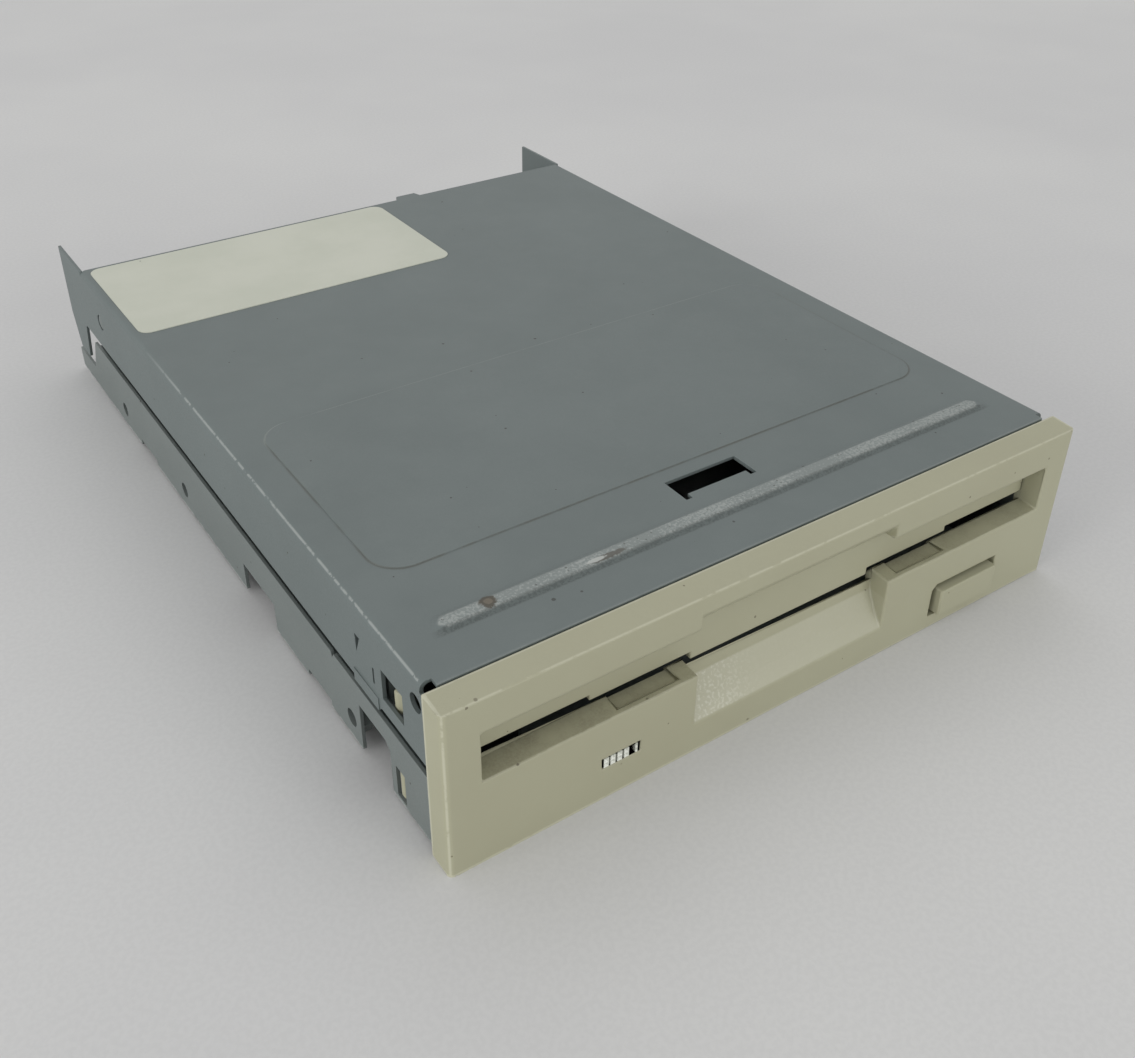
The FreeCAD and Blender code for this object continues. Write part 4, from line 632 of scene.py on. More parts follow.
# %% Painted highlights on the edges of the bezel
BEZEL_SHADE = colour(169, 168, 143)
BEZEL_DARK = colour(165, 163, 138)
GRIME = colour(104, 98, 80)
SETTLED_ON_PLASTIC = colour(128, 124, 106)
EDGE_PAINTED_HIGHLIGHT = colour(198, 197, 176)
BEZEL_BOX = ((-50.8, -4.0, 0.0), (50.8, 0.0, 24.9))
SILL_BOX = ((-70.0, -4.0, -20.0), (70.0, 20.0, 12.9))
SILL_SPAN = (-46.1, 46.1)


def bezel_edge_highlights(made, axes):
    # painted highlights on the bezel's outer edges, then on the edge of the sill under the slot
    tree = made.tree
    edge = fade(tree, made.edge_wear_and_highlights(*BEZEL_BOX, 0.6, (0.2, 0.5)), 0.2, 0.45)
    made.tint(times(tree, edge, 0.6), EDGE_PAINTED_HIGHLIGHT)
    sill = fade(tree, made.edge_wear_and_highlights(*SILL_BOX, 0.5, (0.2, 0.5)), 0.3, 0.5)
    sill = times(tree, sill, band(made, axes[0], *SILL_SPAN, 0.05))
    made.tint(times(tree, sill, 0.4), EDGE_PAINTED_HIGHLIGHT)


print("bezel plastic as light", told(BEZEL_SHADE))

# %% [markdown]
# ## The thumb ramp
# Fingers polish the ramp under the slot, so it is glossier than the rest. It is also made
# paler by a painted highlight, with fine flecks where the skin of the plastic is rubbed
# through, most of all on the left.


# %% Polish the ramp and paint its highlight
RAMP_SPAN = (-16.1, 16.1)
RAMP_HEIGHTS = (4.8, 9.8)
RAMP_PAINTED_HIGHLIGHT = colour(206, 206, 190)
RAMP_FLECKS = colour(206, 206, 192)


def polished_ramp_with_highlight(made, axes):
    # tints the ramp with a painted highlight and rubbed flecks, and returns the mask of it
    tree = made.tree
    low_part = band(made, axes[2], *RAMP_HEIGHTS, 0.2)
    ramp = times(tree, band(made, axes[0], *RAMP_SPAN, 0.1), low_part)
    inner = times(tree, ramp, fade(tree, axes[1], -3.95 * MM, -3.8 * MM))
    flecks = fade(tree, noise(tree, made.place, 2400.0, 2.0, 0.6), 0.5, 0.62)
    left = fade(tree, axes[0], -12.0 * MM, -4.0 * MM, 1.0, 0.0)
    # painted highlight over the ramp
    made.tint(times(tree, inner, 0.22), RAMP_PAINTED_HIGHLIGHT)
    rubbed = times(tree, inner, reckon(tree, "MULTIPLY_ADD", left, 0.4, 0.04))
    made.tint(times(tree, rubbed, flecks), RAMP_FLECKS)
    return inner


print("ramp mm wide", RAMP_SPAN[1] - RAMP_SPAN[0])

# %% [markdown]
# ## The bezel's plastic, put together
# Specks and dust come first, then the painted edge highlights, the grime on the ledge, the
# ramp and two small marks, because what is laid last lies on top.


# %% Bezel plastic
BEZEL_GLOSS = 0.48
LEDGE_HEIGHTS = (10.0, 15.0)
BEZEL_MARKS = (
    ((-41.6, -4.0, 12.8), 0.3, ROUND, GRIME, 1.0),
    ((-46.4, -3.6, 24.6), 0.3, ROUND, GRIME, 0.7),
)


def bezel_plastic():
    made = Finish("bezel_plastic", BEZEL_SHADE, BEZEL_DARK, fine=4200.0, slow=35.0, bump=0.2)
    tree = made.tree
    axes = made.axes()
    dots = made.use(specks, Scale=300.0, Rare=0.5, Size=0.06)
    made.tint(times(tree, dots.outputs["Mask"], 0.8), GRIME)
    settled = made.use(dust, Normal=True, Amount=0.2)
    made.tint(settled.outputs["Mask"], SETTLED_ON_PLASTIC)
    # painted highlights on the bezel's edges and on the sill
    bezel_edge_highlights(made, axes)
    ledge = made.use(dust, Normal=True, Amount=0.6)
    made.tint(times(tree, ledge.outputs["Mask"], band(made, axes[2], *LEDGE_HEIGHTS, 0.3)), GRIME)
    inner = polished_ramp_with_highlight(made, axes)
    for mark in BEZEL_MARKS:
        made.spot(*mark)
    made.rough = reckon(tree, "MULTIPLY_ADD", inner, -0.14, BEZEL_GLOSS)
    return made.done()


def plain_plastic(name, light, dark, roughness):
    made = Finish(name, light, dark, roughness=roughness, slow=80.0)
    return made.done()


print("roughness of the bezel", BEZEL_GLOSS)

# %% [markdown]
# ## Lens plastic
# The lamp's window is clear plastic in front of a dark well. Bright, smooth ridges with
# painted shade behind them, for the dark well, read as clear, and stay plain enough to export.


# %% Lens plastic
LENS_SHADE = colour(222, 224, 214)
LENS_DARK = colour(206, 208, 198)
WELL_PAINTED_SHADE = colour(38, 38, 34)


def lens_plastic():
    made = Finish("lens_plastic", LENS_SHADE, LENS_DARK, roughness=0.14, bump=0.05)
    # painted shade for the dark well, on everything behind the ridges' front
    deep = fade(made.tree, made.axes()[1], -3.6 * MM, -3.3 * MM)
    made.tint(deep, WELL_PAINTED_SHADE)
    return made.done()


print("lens plastic as light", told(LENS_SHADE))

# %% [markdown]
# ## Paper label
# The label is plain white paper with a clear film. It is left blank here. Paper is
# never one flat white: it has fibres, a faint grey cast and a slightly glossy film.


# %% Label paper
PAPER_SHADE = colour(199, 201, 187)
PAPER_DARK = colour(192, 195, 180)
PAPER_DOTS = colour(120, 120, 112)


def label_paper():
    made = Finish("label_paper", PAPER_SHADE, PAPER_DARK, roughness=0.42, fine=6000.0, slow=70.0)
    dots = made.use(specks, Scale=500.0, Rare=0.97, Size=0.15)
    made.tint(dots.outputs["Mask"], PAPER_DOTS)
    return made.done()


print("label paper as light", told(PAPER_SHADE))

# %% [markdown]
# ## Circuit board
# Under the lacquer a board is green with darker copper tracks. Tracks run in straight
# parallel lines, so bands on a coordinate, broken up by cells, read as routed copper.


# %% Board lacquer
LACQUER = colour(52, 92, 58)
LACQUER_DARK = colour(42, 80, 50)
TRACKS = colour(74, 118, 72)
TRACK_SCALE = 110.0


def tracks_along(tree, place, direction):
    waves = put(tree, "ShaderNodeTexWave", wave_type="BANDS", bands_direction=direction)
    join(tree, place, waves.inputs["Vector"])
    waves.inputs["Scale"].default_value = TRACK_SCALE
    return reckon(tree, "GREATER_THAN", waves.outputs["Fac"], 0.55)


def board_green():
    made = Finish("board_green", LACQUER, LACQUER_DARK, roughness=0.32, fine=2500.0, slow=50.0)
    tree = made.tree
    cells = put(tree, "ShaderNodeTexVoronoi", feature="F1", distance="MANHATTAN")
    join(tree, made.place, cells.inputs["Vector"])
    cells.inputs["Scale"].default_value = 120.0
    choose = put(tree, "ShaderNodeSeparateColor")
    join(tree, cells.outputs["Color"], choose.inputs[0])
    first = times(tree, tracks_along(tree, made.place, "X"),
                  reckon(tree, "GREATER_THAN", choose.outputs[0], 0.45))
    second = times(tree, tracks_along(tree, made.place, "Y"),
                   reckon(tree, "LESS_THAN", choose.outputs[0], 0.3))
    made.tint(reckon(tree, "MAXIMUM", first, second), TRACKS)
    return made.done()


print("board lacquer as light", told(LACQUER))

# %% [markdown]
# ## The plainer finishes
# Most metals and plastics inside are clean, so two short lists say how they differ.

# %% List the plain metals and plastics
METALS = {
    # light and dark shade, how metallic, how rough, scale of the grain
    "inner_steel": (colour(150, 153, 150), colour(128, 132, 130), 0.7, 0.4, 2600.0),
    "bright_steel": (colour(205, 206, 204), colour(180, 182, 180), 0.95, 0.22, 2600.0),
    "screw_steel": (colour(190, 188, 176), colour(160, 158, 146), 0.9, 0.3, 2600.0),
    "motor_steel": (colour(170, 172, 170), colour(146, 148, 146), 0.85, 0.34, 2600.0),
    "carriage_alloy": (colour(168, 170, 172), colour(140, 143, 146), 0.8, 0.45, 2600.0),
    "sleeve_brass": (colour(196, 164, 92), colour(170, 138, 72), 0.95, 0.3, 2600.0),
    "copper_coils": (colour(186, 108, 62), colour(140, 74, 40), 0.85, 0.35, 900.0),
    "pin_brass": (colour(214, 190, 120), colour(190, 164, 96), 0.95, 0.25, 2600.0),
}
PLASTICS = {
    # light and dark shade, how rough
    "led_plastic": (colour(120, 170, 90), colour(96, 140, 70), 0.2),
    "magnet_black": (colour(58, 56, 54), colour(44, 42, 40), 0.55),
    "black_plastic": (colour(34, 34, 34), colour(26, 26, 26), 0.42),
    "nylon_white": (colour(214, 212, 200), colour(200, 198, 184), 0.45),
    "arm_plastic": (colour(44, 44, 46), colour(34, 34, 36), 0.45),
    "head_ceramic": (colour(74, 66, 60), colour(60, 52, 48), 0.2),
}
print("plain metals", len(METALS), "plain plastics", len(PLASTICS))

# %% [markdown]
# ## One finish for each material slot
# The record names a slot for each kind of surface. Each gets its own finish here, and
# every node is dressed in the finish of its slot.

# %% Make all the finishes
OWN_FINISHES = (cover_steel, frame_steel, bezel_plastic, lens_plastic, label_paper, board_green)
finishes = {make.__name__: make() for make in OWN_FINISHES}
for name, values in METALS.items():
    finishes[name] = plain_metal(name, *values)
for name, values in PLASTICS.items():
    finishes[name] = plain_plastic(name, *values)
slot_of = {row["node"]: row["material_slot"] for row in frame["record"]["subparts"]}
for name, node in nodes.items():
    node.data.materials.clear()
    node.data.materials.append(finishes[slot_of[name]])
print("finishes", len(finishes), "nodes dressed", len(slot_of))

# %% [markdown]
# ## Soft edges on pressed and moulded pieces
# A real edge is never razor sharp: sheet is rounded by the press, plastic by the mould.
# The frame's meshes are loose triangles, so a copy of each is merged and its flat areas
# joined. Edges that bend sharply are then given a bevel weight, and a live Bevel rounds
# those by a hair, while the small facets of a round stretch stay as they are.


# %% Make a soft-edged copy of a node
MERGE = 0.001 * MM
SHARP = 18.0
SHORTEST = 0.4


def whole(form):
    return form.verts[:] + form.edges[:] + form.faces[:]


def merged_copy(name):
    # one connected mesh from a node's loose triangles, with its flat areas joined up
    form = bmesh.new()
    form.from_mesh(nodes[name].data)
    bmesh.ops.remove_doubles(form, verts=form.verts[:], dist=MERGE)
    bmesh.ops.dissolve_limit(form, angle_limit=math.radians(0.5), verts=form.verts[:],
                             edges=form.edges[:])
    return form


def shown(form, name, node, smooth, replace=True):
    # turns a finished form into a piece that rides with its node and takes its finish
    mesh = bpy.data.meshes.new(name)
    form.to_mesh(mesh)
    form.free()
    mesh.materials.append(finishes[slot_of[node]])
    mesh.shade_smooth()
    mesh.set_sharp_from_angle(angle=math.radians(smooth))
    piece = bpy.data.objects.new(name, mesh)
    scene.collection.objects.link(piece)
    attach(piece, nodes[node]["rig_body"])
    if replace:
        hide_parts(node)
    return piece


def soft_copy(name, width, segments):
    form = merged_copy(name)
    bmesh.ops.triangulate(form, faces=form.faces[:], quad_method="BEAUTY", ngon_method="BEAUTY")
    weight = form.edges.layers.float.new("bevel_weight_edge")
    for edge in form.edges:
        bent = edge.is_manifold and edge.calc_face_angle() > math.radians(SHARP)
        if bent and edge.calc_length() > SHORTEST * MM:
            edge[weight] = 1.0
    piece = shown(form, name + "_soft", name, SHARP)
    bevel = piece.modifiers.new("round", "BEVEL")
    bevel.width = width * MM
    bevel.segments = segments
    bevel.limit_method = "WEIGHT"
    bevel.use_clamp_overlap = False
    flat = piece.modifiers.new("flat faces", "WEIGHTED_NORMAL")
    flat.keep_sharp = True


print("an edge is rounded past", SHARP, "degrees and over", SHORTEST, "mm long")

# %% [markdown]
# ## How soft each piece is
# Sheet steel keeps crisp edges, moulded plastic has wider ones. Each width is the
# bevel's, in millimetres, and the bezel gets one segment more because it is seen closest.

# %% Soften the pieces
EDGE_WIDTHS = {
    "front_bezel": 0.24,
    "dust_flap": 0.15,
    "eject_button": 0.25,
    "top_cover": 0.05,
    "chassis_frame": 0.05,
    "disk_holder": 0.06,
    "eject_slider": 0.06,
    "shutter_lever": 0.06,
    "stepper_bracket": 0.06,
    "head_carriage": 0.2,
    "head_arm": 0.2,
    "signal_header": 0.15,
    "power_socket": 0.15,
    "rod_clamp_front": 0.12,
    "rod_clamp_rear": 0.12,
    "stepper_motor": 0.25,
    "switch_bodies": 0.2,
    "track_sensor": 0.15,
    "led_lamp": 0.2,
    "spindle_rotor": 0.2,
    "spindle_hub": 0.15,
    "rotor_magnet": 0.1,
    "plunger_left": 0.12,
    "plunger_right": 0.12,
    "upper_head": 0.2,
    "lower_head": 0.2,
    "signal_pins": 0.1,
    "power_pins": 0.12,
}
for name, width in EDGE_WIDTHS.items():
    soft_copy(name, width, 3 if name == "front_bezel" else 2)
print("softened", len(EDGE_WIDTHS))

# %% [markdown]
# ## Turned pins, posts and rods
# Pins, posts and rods come off a lathe, and a lathe is what the spin operator is: the
# outline of one side is drawn as a few points and turned a full round. The islands of
# the node's mesh say where each one stands, so nothing has to be measured twice.


# %% Find the separate solids of a node
def islands(name):
    # the lowest and highest corner of every loose solid, in millimetres
    form = merged_copy(name)
    left = set(form.verts)
    found = []
    while left:
        stack = [left.pop()]
        group = list(stack)
        while stack:
            for edge in stack.pop().link_edges:
                for vert in edge.verts:
                    if vert in left:
                        left.remove(vert)
                        stack.append(vert)
                        group.append(vert)
        low = Vector([min(vert.co[i] for vert in group) / MM for i in range(3)])
        high = Vector([max(vert.co[i] for vert in group) / MM for i in range(3)])
        found.append((low, high))
    form.free()
    return sorted(found, key=lambda pair: tuple(round(v, 3) for v in pair[0]))


print("screws found on the deck", len(islands("deck_screws")))

# %% [markdown]
# ## The lathe
# The outline is a chain of points beside the axis. The full spin is merged where it
# meets itself, and the points on the axis are merged too, so both ends are closed.


# %% Turn an outline round an axis
STEPS = 32
FEW_STEPS = 24


def turned(form, foot, direction, outline, steps=STEPS):
    # outline: (radius, height) pairs in millimetres, from the foot along the direction
    along = Vector(direction)
    across = along.orthogonal().normalized()
    verts = [form.verts.new((foot + along * height + across * radius) * MM)
             for radius, height in outline]
    edges = [form.edges.new(pair) for pair in zip(verts[:-1], verts[1:])]
    bmesh.ops.spin(form, geom=verts + edges, cent=foot * MM, axis=along, angle=math.tau,
                   steps=steps, use_merge=True)
    bmesh.ops.remove_doubles(form, verts=form.verts[:], dist=MERGE)
    bmesh.ops.dissolve_degenerate(form, edges=form.edges[:], dist=MERGE)
    bmesh.ops.recalc_face_normals(form, faces=form.faces[:])


def rod_outline(radius, length, soft_end):
    return [(0.0, 0.0), (radius - soft_end, 0.0), (radius, soft_end), (radius, length - soft_end),
            (radius - soft_end, length), (0.0, length)]


print("a round piece has", STEPS, "sides, a small one", FEW_STEPS)

# %% [markdown]
# ## Pins, rods and posts
# Each node below is one kind of round piece, with the axis that it lies along. The
# radius and the length are read from the solid that the piece replaces.

# %% Turn the pins, rods and posts
SOFT_END = 0.2
ROUND_PIECES = {"guide_pins": 0, "arm_pin": 0, "drive_pin": 2, "guide_rod": 1, "disk_posts": 2}
for name, axis in ROUND_PIECES.items():
    form = bmesh.new()
    for low, high in islands(name):
        middle = (low + high) / 2
        foot = middle.copy()
        foot[axis] = low[axis]
        direction = Vector((0.0, 0.0, 0.0))
        direction[axis] = 1.0
        radius = (high[(axis + 1) % 3] - low[(axis + 1) % 3]) / 2
        soft_end = SOFT_END * min(1.0, radius)
        turned(form, foot, direction, rod_outline(radius, high[axis] - low[axis], soft_end))
    print(name, "faces", len(form.faces))
    shown(form, name + "_turned", name, 35.0)

# %% [markdown]
# ## The lever's rivet
# A rivet has a wide flange under the sheet, a thinner neck and a head that was pressed
# flat, with a small dimple in it. The same lathe turns that longer outline.

# %% The rivet that the shutter lever turns on
FLANGE = 2.4
NECK = 1.5
FLANGE_TALL = 0.5
form = bmesh.new()
low, high = islands("lever_rivet")[0]
foot = Vector(((low[0] + high[0]) / 2, (low[1] + high[1]) / 2, low[2]))
tall = high[2] - low[2]
turned(form, foot, (0.0, 0.0, 1.0),
       [(0.0, 0.0), (FLANGE - 0.2, 0.0), (FLANGE, 0.2), (FLANGE, FLANGE_TALL), (NECK, FLANGE_TALL),
        (NECK, tall - FLANGE_TALL), (FLANGE, tall - FLANGE_TALL), (FLANGE - 0.1, tall - 0.2),
        (NECK - 0.1, tall), (0.7, tall), (0.5, tall - 0.15), (0.0, tall - 0.15)])
shown(form, "lever_rivet_turned", "lever_rivet", 35.0)
print("rivet height mm", round(tall, 2))

# %% [markdown]
# ## Lamp lens
# The small clear window over the lamp is a moulded comb: four glassy ridges that catch
# the light, a dark gap, and one thin fin. A block is cut by planes into strips, and the
# faces between the ridges are pushed back, so the notches are real; their backs are
# painted dark as shade in the lens's finish.


# %% Mould the lens
RIDGE = 0.72
NOTCH = 0.26
RIDGES = 4
FIRST_RIDGE = 0.06
FIN = (0.62, 0.3)
NOTCH_DEEP = 1.1
RIDGE_DIP = 0.22


def block(form, low, high):
    # a box between two corners given in millimetres
    verts = bmesh.ops.create_cube(form, size=1.0)["verts"]
    bmesh.ops.scale(form, verts=verts, vec=(high - low) * MM)
    bmesh.ops.translate(form, verts=verts, vec=(high + low) / 2 * MM)
    return verts


def new_verts(result):
    return [item for item in result["geom"] if isinstance(item, bmesh.types.BMVert)]


def lamp_lens():
    low, high = islands("led_lens")[0]
    form = bmesh.new()
    block(form, low, high)
    starts = [low[0] + FIRST_RIDGE + index * (RIDGE + NOTCH) for index in range(RIDGES)]
    ridge_spans = [(start, start + RIDGE) for start in starts]
    ridge_spans.append((high[0] - FIN[0], high[0] - FIN[1]))
    cuts = [((x, 0.0, 0.0), (1.0, 0.0, 0.0)) for span in ridge_spans for x in span]
    cuts.append(((0.0, 0.0, (low[2] + high[2]) / 2), (0.0, 0.0, 1.0)))
    for place, side in cuts:
        bmesh.ops.bisect_plane(form, geom=whole(form), plane_co=Vector(place) * MM, plane_no=side)
    form.normal_update()
    bright, dark = [], []
    for face in [face for face in form.faces if face.normal.y < -0.9]:
        x = face.calc_center_median().x / MM
        (bright if any(a < x < b for a, b in ridge_spans) else dark).append(face)
    pushed = bmesh.ops.extrude_face_region(form, geom=dark)
    bmesh.ops.translate(form, verts=new_verts(pushed), vec=(0.0, NOTCH_DEEP * MM, 0.0))
    bmesh.ops.delete(form, geom=dark, context="FACES")
    bmesh.ops.poke(form, faces=bright, offset=-RIDGE_DIP * MM)
    print("lens ridges", len(ridge_spans), "faces", len(form.faces))
    shown(form, "led_lens_ridged", "led_lens", 20.0)


lamp_lens()

# %% [markdown]
# ## Screws
# Each screw is a pan head with a cross recess on a plain shank. The head is turned, then
# cut by planes into the arms of a cross, and those small faces are pushed down into it.


# %% Make one screw
HEAD_RADIUS = 1.8
HEAD_TALL = 0.8
SHANK_RADIUS = 0.9
CROSS_ARM = 1.0
CROSS_HALF = 0.22
CROSS_DEEP = 0.45


def cross_recess(form, top_middle, along):
    # cut the head's top by planes, then push the faces inside the cross down
    across = along.orthogonal().normalized()
    other = along.cross(across)
    near = [face for face in form.faces
            if (face.calc_center_median() / MM - top_middle).length < HEAD_RADIUS]
    for side in (across, other):
        for off in (-CROSS_ARM, -CROSS_HALF, CROSS_HALF, CROSS_ARM):
            geom = set(near)
            for face in near:
                geom.update(face.edges)
                geom.update(face.verts)
            cut = bmesh.ops.bisect_plane(form, geom=list(geom), plane_no=side,
                                         plane_co=(top_middle + side * off) * MM)
            near = [item for item in cut["geom"] if isinstance(item, bmesh.types.BMFace)]
    chosen = []
    for face in near:
        offset = face.calc_center_median() / MM - top_middle
        short, long = sorted((abs(offset.dot(across)), abs(offset.dot(other))))
        if face.normal.dot(along) > 0.9 and short < CROSS_HALF and long < CROSS_ARM:
            chosen.append(face)
    pushed = bmesh.ops.extrude_face_region(form, geom=chosen)
    bmesh.ops.translate(form, verts=new_verts(pushed), vec=along * -CROSS_DEEP * MM)
    bmesh.ops.delete(form, geom=chosen, context="FACES")


def screw(low, high, head_up):
    # a screw of its own, so that its cuts touch nothing else
    form = bmesh.new()
    long = high[2] - low[2]
    along = Vector((0.0, 0.0, 1.0 if head_up else -1.0))
    middle = (low + high) / 2
    foot = Vector((middle[0], middle[1], low[2] if head_up else high[2]))
    under = long - HEAD_TALL
    turned(form, foot, along,
           [(0.0, 0.0), (SHANK_RADIUS * 0.6, 0.0), (SHANK_RADIUS, 0.4), (SHANK_RADIUS, under),
            (HEAD_RADIUS, under), (HEAD_RADIUS, under + 0.35), (HEAD_RADIUS - 0.15, under + 0.62),
            (HEAD_RADIUS - 0.5, long), (0.0, long)], FEW_STEPS)
    cross_recess(form, foot + along * long, along)
    mesh = bpy.data.meshes.new("one_screw")
    form.to_mesh(mesh)
    form.free()
    return mesh


print("screw head mm", 2 * HEAD_RADIUS, "wide", HEAD_TALL, "tall")

# %% [markdown]
# ## Screws in their places
# The deck's screws have their heads on top, the board's have them below. Each is made on
# its own and added to the one mesh of its node, at the place of the solid it replaces.

# %% Place the screws
for name, head_up in (("deck_screws", True), ("board_screws", False)):
    form = bmesh.new()
    for low, high in islands(name):
        one = screw(low, high, head_up)
        form.from_mesh(one)
        bpy.data.meshes.remove(one)
    print(name, "faces", len(form.faces))
    shown(form, name + "_crossed", name, 35.0)

# %% [markdown]
# ## Lead screw
# The stepper turns a shaft with one narrow spiral groove, 3.75 mm for each turn. The
# outline of a single turn is spun eight times while it moves along, so the groove is real,
# and what stands out past the shaft's ends is cut off by two planes.


# %% Cut the spiral groove
PITCH = 3.75
TURNS = 8
SHAFT = 1.5
GROOVE_FOOT = 1.12
THREAD_START = 98.2


def lead_screw():
    low, high = islands("lead_screw")[0]
    centre = Vector(((low[0] + high[0]) / 2, 0.0, (low[2] + high[2]) / 2))
    form = bmesh.new()
    line = [(SHAFT, 0.0), (SHAFT, 2.9), (GROOVE_FOOT + 0.1, 3.1), (GROOVE_FOOT, 3.3),
            (GROOVE_FOOT + 0.1, 3.5), (SHAFT, PITCH)]
    verts = []
    for radius, along in line:
        place = centre + Vector((radius, THREAD_START - PITCH + along, 0.0))
        verts.append(form.verts.new(place * MM))
    edges = [form.edges.new(pair) for pair in zip(verts[:-1], verts[1:])]
    bmesh.ops.spin(form, geom=verts + edges, cent=centre * MM, axis=(0.0, 1.0, 0.0),
                   dvec=(0.0, PITCH / FEW_STEPS * MM, 0.0), angle=math.tau * TURNS,
                   steps=FEW_STEPS * TURNS, use_merge=False)
    bmesh.ops.remove_doubles(form, verts=form.verts[:], dist=MERGE)
    for place, side in ((THREAD_START, -1.0), (high[1], 1.0)):
        bmesh.ops.bisect_plane(form, geom=whole(form), plane_co=(0.0, place * MM, 0.0),
                               plane_no=(0.0, side, 0.0), clear_outer=True)
    bmesh.ops.holes_fill(form, edges=form.edges[:], sides=0)
    bmesh.ops.recalc_face_normals(form, faces=form.faces[:])
    tip = Vector((centre[0], low[1], centre[2]))
    tip_line = [(0.0, 0.0), (0.7, 0.0), (0.95, 0.25), (0.95, 1.4), (0.0, 1.4)]
    turned(form, tip, (0.0, 1.0, 0.0), tip_line, FEW_STEPS)
    print("lead screw faces", len(form.faces))
    shown(form, "lead_screw_grooved", "lead_screw", 35.0)


lead_screw()

# %% [markdown]
# ## Wound coils
# Nine flat coils of fine copper wire sit on the motor board. Each starts as a copy of its
# plain ring. Insets that go up and down by turns raise one ridge for each layer of wire on
# the top, and rings cut round the sides are pushed in between the layers.


# %% Wind the coils
WIRE = 0.28
SIDE_DENT = 0.06
LAYERS = 7
VALLEY = -0.07
CREST = 0.05


def wind(form):
    top = max(vert.co.z for vert in form.verts)
    foot = min(vert.co.z for vert in form.verts)
    level = foot + WIRE * MM / 2
    dents = []
    while level < top - WIRE * MM / 2:
        bmesh.ops.bisect_plane(form, geom=whole(form), plane_co=(0.0, 0.0, level),
                               plane_no=(0.0, 0.0, 1.0))
        dents.append(level)
        level += WIRE * MM / 2
    form.normal_update()
    for level in dents[1::2]:
        for vert in form.verts:
            if abs(vert.co.z - level) < MERGE:
                vert.co -= vert.normal * SIDE_DENT * MM
    upper = [face for face in form.faces
             if face.normal.z > 0.9 and face.calc_center_median().z > top - MERGE]
    for count in range(LAYERS):
        step = CREST if count % 2 else VALLEY
        bmesh.ops.inset_region(form, faces=upper, thickness=WIRE * MM / 2, depth=step * MM,
                               use_even_offset=True, use_boundary=True)


form = merged_copy("stator_coils")
wind(form)
bmesh.ops.triangulate(form, faces=form.faces[:])
print("coil faces", len(form.faces))
shown(form, "stator_coils_wound", "stator_coils", 50.0)

# %% [markdown]
# ## Chips on the board
# A chip is a moulded block with a row of bent legs along two or four sides. The block is
# bevelled. A leg is a strip of faces extruded out, down and out again, which Solidify
# then gives its thickness, so that dozens of legs stay light.


# %% Make a leg and a chip
LEG_STEP = 1.27
LEG_WIDTH = 0.45
LEG_REACH = 0.75
CHIP_BEVEL = 0.12


def grow(form, edges, steps):
    # extrude an edge along a list of moves, which leaves a strip of faces
    for move in steps:
        made = bmesh.ops.extrude_edge_only(form, edges=edges)
        verts = new_verts(made)
        bmesh.ops.translate(form, verts=verts, vec=move * MM)
        edges = [item for item in made["geom"] if isinstance(item, bmesh.types.BMEdge)
                 and all(vert in verts for vert in item.verts)]


def leg(form, root, outward, drop):
    aside = outward.cross(Vector((0.0, 0.0, 1.0)))
    ends = [form.verts.new((root + aside * (LEG_WIDTH / 2 * sign)) * MM) for sign in (-1.0, 1.0)]
    down = Vector((0.0, 0.0, -drop))
    grow(form, [form.edges.new(ends)],
         [outward * 0.25, outward * 0.1 + down, outward * (LEG_REACH - 0.35)])


def chip_body(form, low, high):
    verts = block(form, low, high)
    edges = list({edge for vert in verts for edge in vert.link_edges})
    bmesh.ops.bevel(form, geom=edges, offset=CHIP_BEVEL * MM, offset_type="OFFSET", affect="EDGES",
                    segments=1, profile=0.5, material=-1)


print("chip legs every", LEG_STEP, "mm")

# %% [markdown]
# ## Chips in their places
# Each chip's box in the frame gives its size. The block is drawn in by the room that
# the legs need, and the legs are spread evenly along its sides.


# %% Fit a chip into its box
LEG_ROOM = 0.8
STAND_OFF = 0.15
BIG_CHIP = 12.0
ROOT_SHARE = 0.45


def leg_row(form, block_low, block_high, axes, rise):
    # the legs along two opposite sides; axes: the one they point along, the one they run along
    out_axis, run_axis = axes
    run = block_high[run_axis] - block_low[run_axis] - 1.2
    count = int(run / LEG_STEP) + 1
    first = (block_high[run_axis] + block_low[run_axis]) / 2 - (count - 1) * LEG_STEP / 2
    for sign, edge_at in ((-1.0, block_low[out_axis]), (1.0, block_high[out_axis])):
        outward = Vector((0.0, 0.0, 0.0))
        outward[out_axis] = sign
        for index in range(count):
            root = Vector((0.0, 0.0, block_low[2] + rise))
            root[out_axis] = edge_at
            root[run_axis] = first + index * LEG_STEP
            leg(form, root, outward, rise + 0.05)


def fit_chip(blocks, legs, low, high):
    four_sided = high[0] - low[0] > BIG_CHIP
    room = Vector((LEG_ROOM, LEG_ROOM if four_sided else 0.0, 0.0))
    block_low = low + room + Vector((0.0, 0.0, STAND_OFF))
    block_high = high - room
    chip_body(blocks, block_low, block_high)
    rise = (block_high[2] - block_low[2]) * ROOT_SHARE
    leg_row(legs, block_low, block_high, (0, 1), rise)
    if four_sided:
        leg_row(legs, block_low, block_high, (1, 0), rise)


print("chips to fit", len(islands("board_chips")))

# %% Build the chips
blocks_form = bmesh.new()
legs_form = bmesh.new()
for low, high in islands("board_chips"):
    fit_chip(blocks_form, legs_form, low, high)
print("blocks faces", len(blocks_form.faces), "legs faces", len(legs_form.faces))
shown(blocks_form, "board_chips_blocks", "board_chips", 30.0)
bmesh.ops.recalc_face_normals(legs_form, faces=legs_form.faces[:])
legs_piece = shown(legs_form, "board_chips_legs", "signal_pins", 30.0, replace=False)
thick = legs_piece.modifiers.new("thickness", "SOLIDIFY")
thick.thickness = 0.15 * MM
thick.offset = 1.0

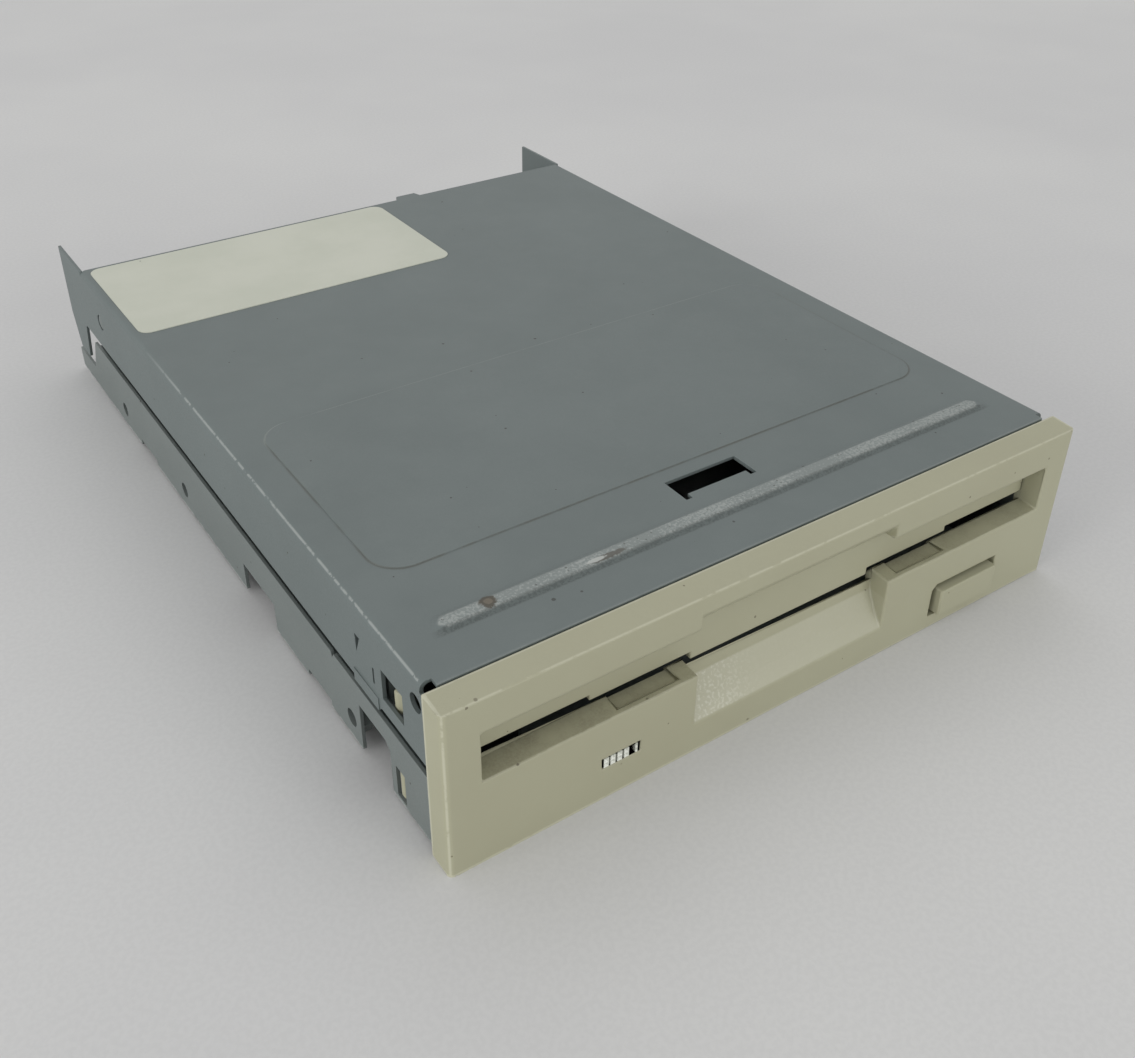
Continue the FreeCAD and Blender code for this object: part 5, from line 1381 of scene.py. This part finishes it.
# %% [markdown]
# ## Floor
# The drive stands on a pale sheet with a faint grain. Seen from below, the sheet is
# clear, so that the drive's underside can be looked at too: Backfacing chooses between
# the paper and a Transparent shader.

# %% Floor
floor_form = bmesh.new()
bmesh.ops.create_grid(floor_form, x_segments=1, y_segments=1, size=8.0)
floor_mesh = bpy.data.meshes.new("floor")
floor_form.to_mesh(floor_mesh)
floor_form.free()
floor = bpy.data.objects.new("floor", floor_mesh)
scene.collection.objects.link(floor)
paper = Finish("floor_paper", colour(213, 213, 212), colour(206, 206, 206), roughness=0.75,
               fine=1500.0, slow=6.0, bump=0.05)
paper.shader.inputs["Specular IOR Level"].default_value = 0.2
fibres = fade(paper.tree, paper.grain.outputs["Speckle"], 0.35, 0.65, 0.0, 0.14)
paper.tint(fibres, colour(186, 186, 186))
floor_mesh.materials.append(paper.done())
clear = put(paper.tree, "ShaderNodeBsdfTransparent")
facing = put(paper.tree, "ShaderNodeNewGeometry")
choice = put(paper.tree, "ShaderNodeMixShader")
join(paper.tree, facing.outputs["Backfacing"], choice.inputs[0])
join(paper.tree, paper.shader.outputs[0], choice.inputs[1])
join(paper.tree, clear.outputs[0], choice.inputs[2])
join(paper.tree, choice.outputs[0], paper.tree.get_output_node("CYCLES").inputs["Surface"])
print("floor faces", len(floor_mesh.polygons))

# %% [markdown]
# ## Light
# The light is soft: wide low lamps to the left and in front, a weak one behind and
# above, and a pale surrounding. The lamps stay at a plain level, so a colour renders
# about as it was written.


# %% Lamps and surroundings
AIM = Vector((0.0, 0.05, 0.01))
LAMP_WIDTH = 1.0
SURROUND = 0.66
LAMPS = {
    # place in metres and power in watts
    "left": ((-1.46, 0.0, 0.33), 10.0),
    "front": ((0.3, -1.42, 0.4), 6.0),
    "above": ((0.4, 0.9, 1.2), 1.5),
}
for name, (place, power) in LAMPS.items():
    light = bpy.data.lights.new(name, "AREA")
    light.shape = "DISK"
    light.size = LAMP_WIDTH
    light.energy = power
    lamp = bpy.data.objects.new(name, light)
    lamp.location = place
    lamp.rotation_euler = (AIM - Vector(place)).to_track_quat("-Z", "Y").to_euler()
    scene.collection.objects.link(lamp)
world = bpy.data.worlds.new("studio")
world.use_nodes = True
scene.world = world
backdrop = world.node_tree.nodes["Background"]
backdrop.inputs["Color"].default_value = (1.0, 1.0, 1.0, 1.0)
backdrop.inputs["Strength"].default_value = SURROUND
scene.view_settings.view_transform = "Standard"
print("lamps", list(LAMPS), "surround", SURROUND)

# %% [markdown]
# ## Boxes
# The dressed drive has to be as large as the model it dresses.
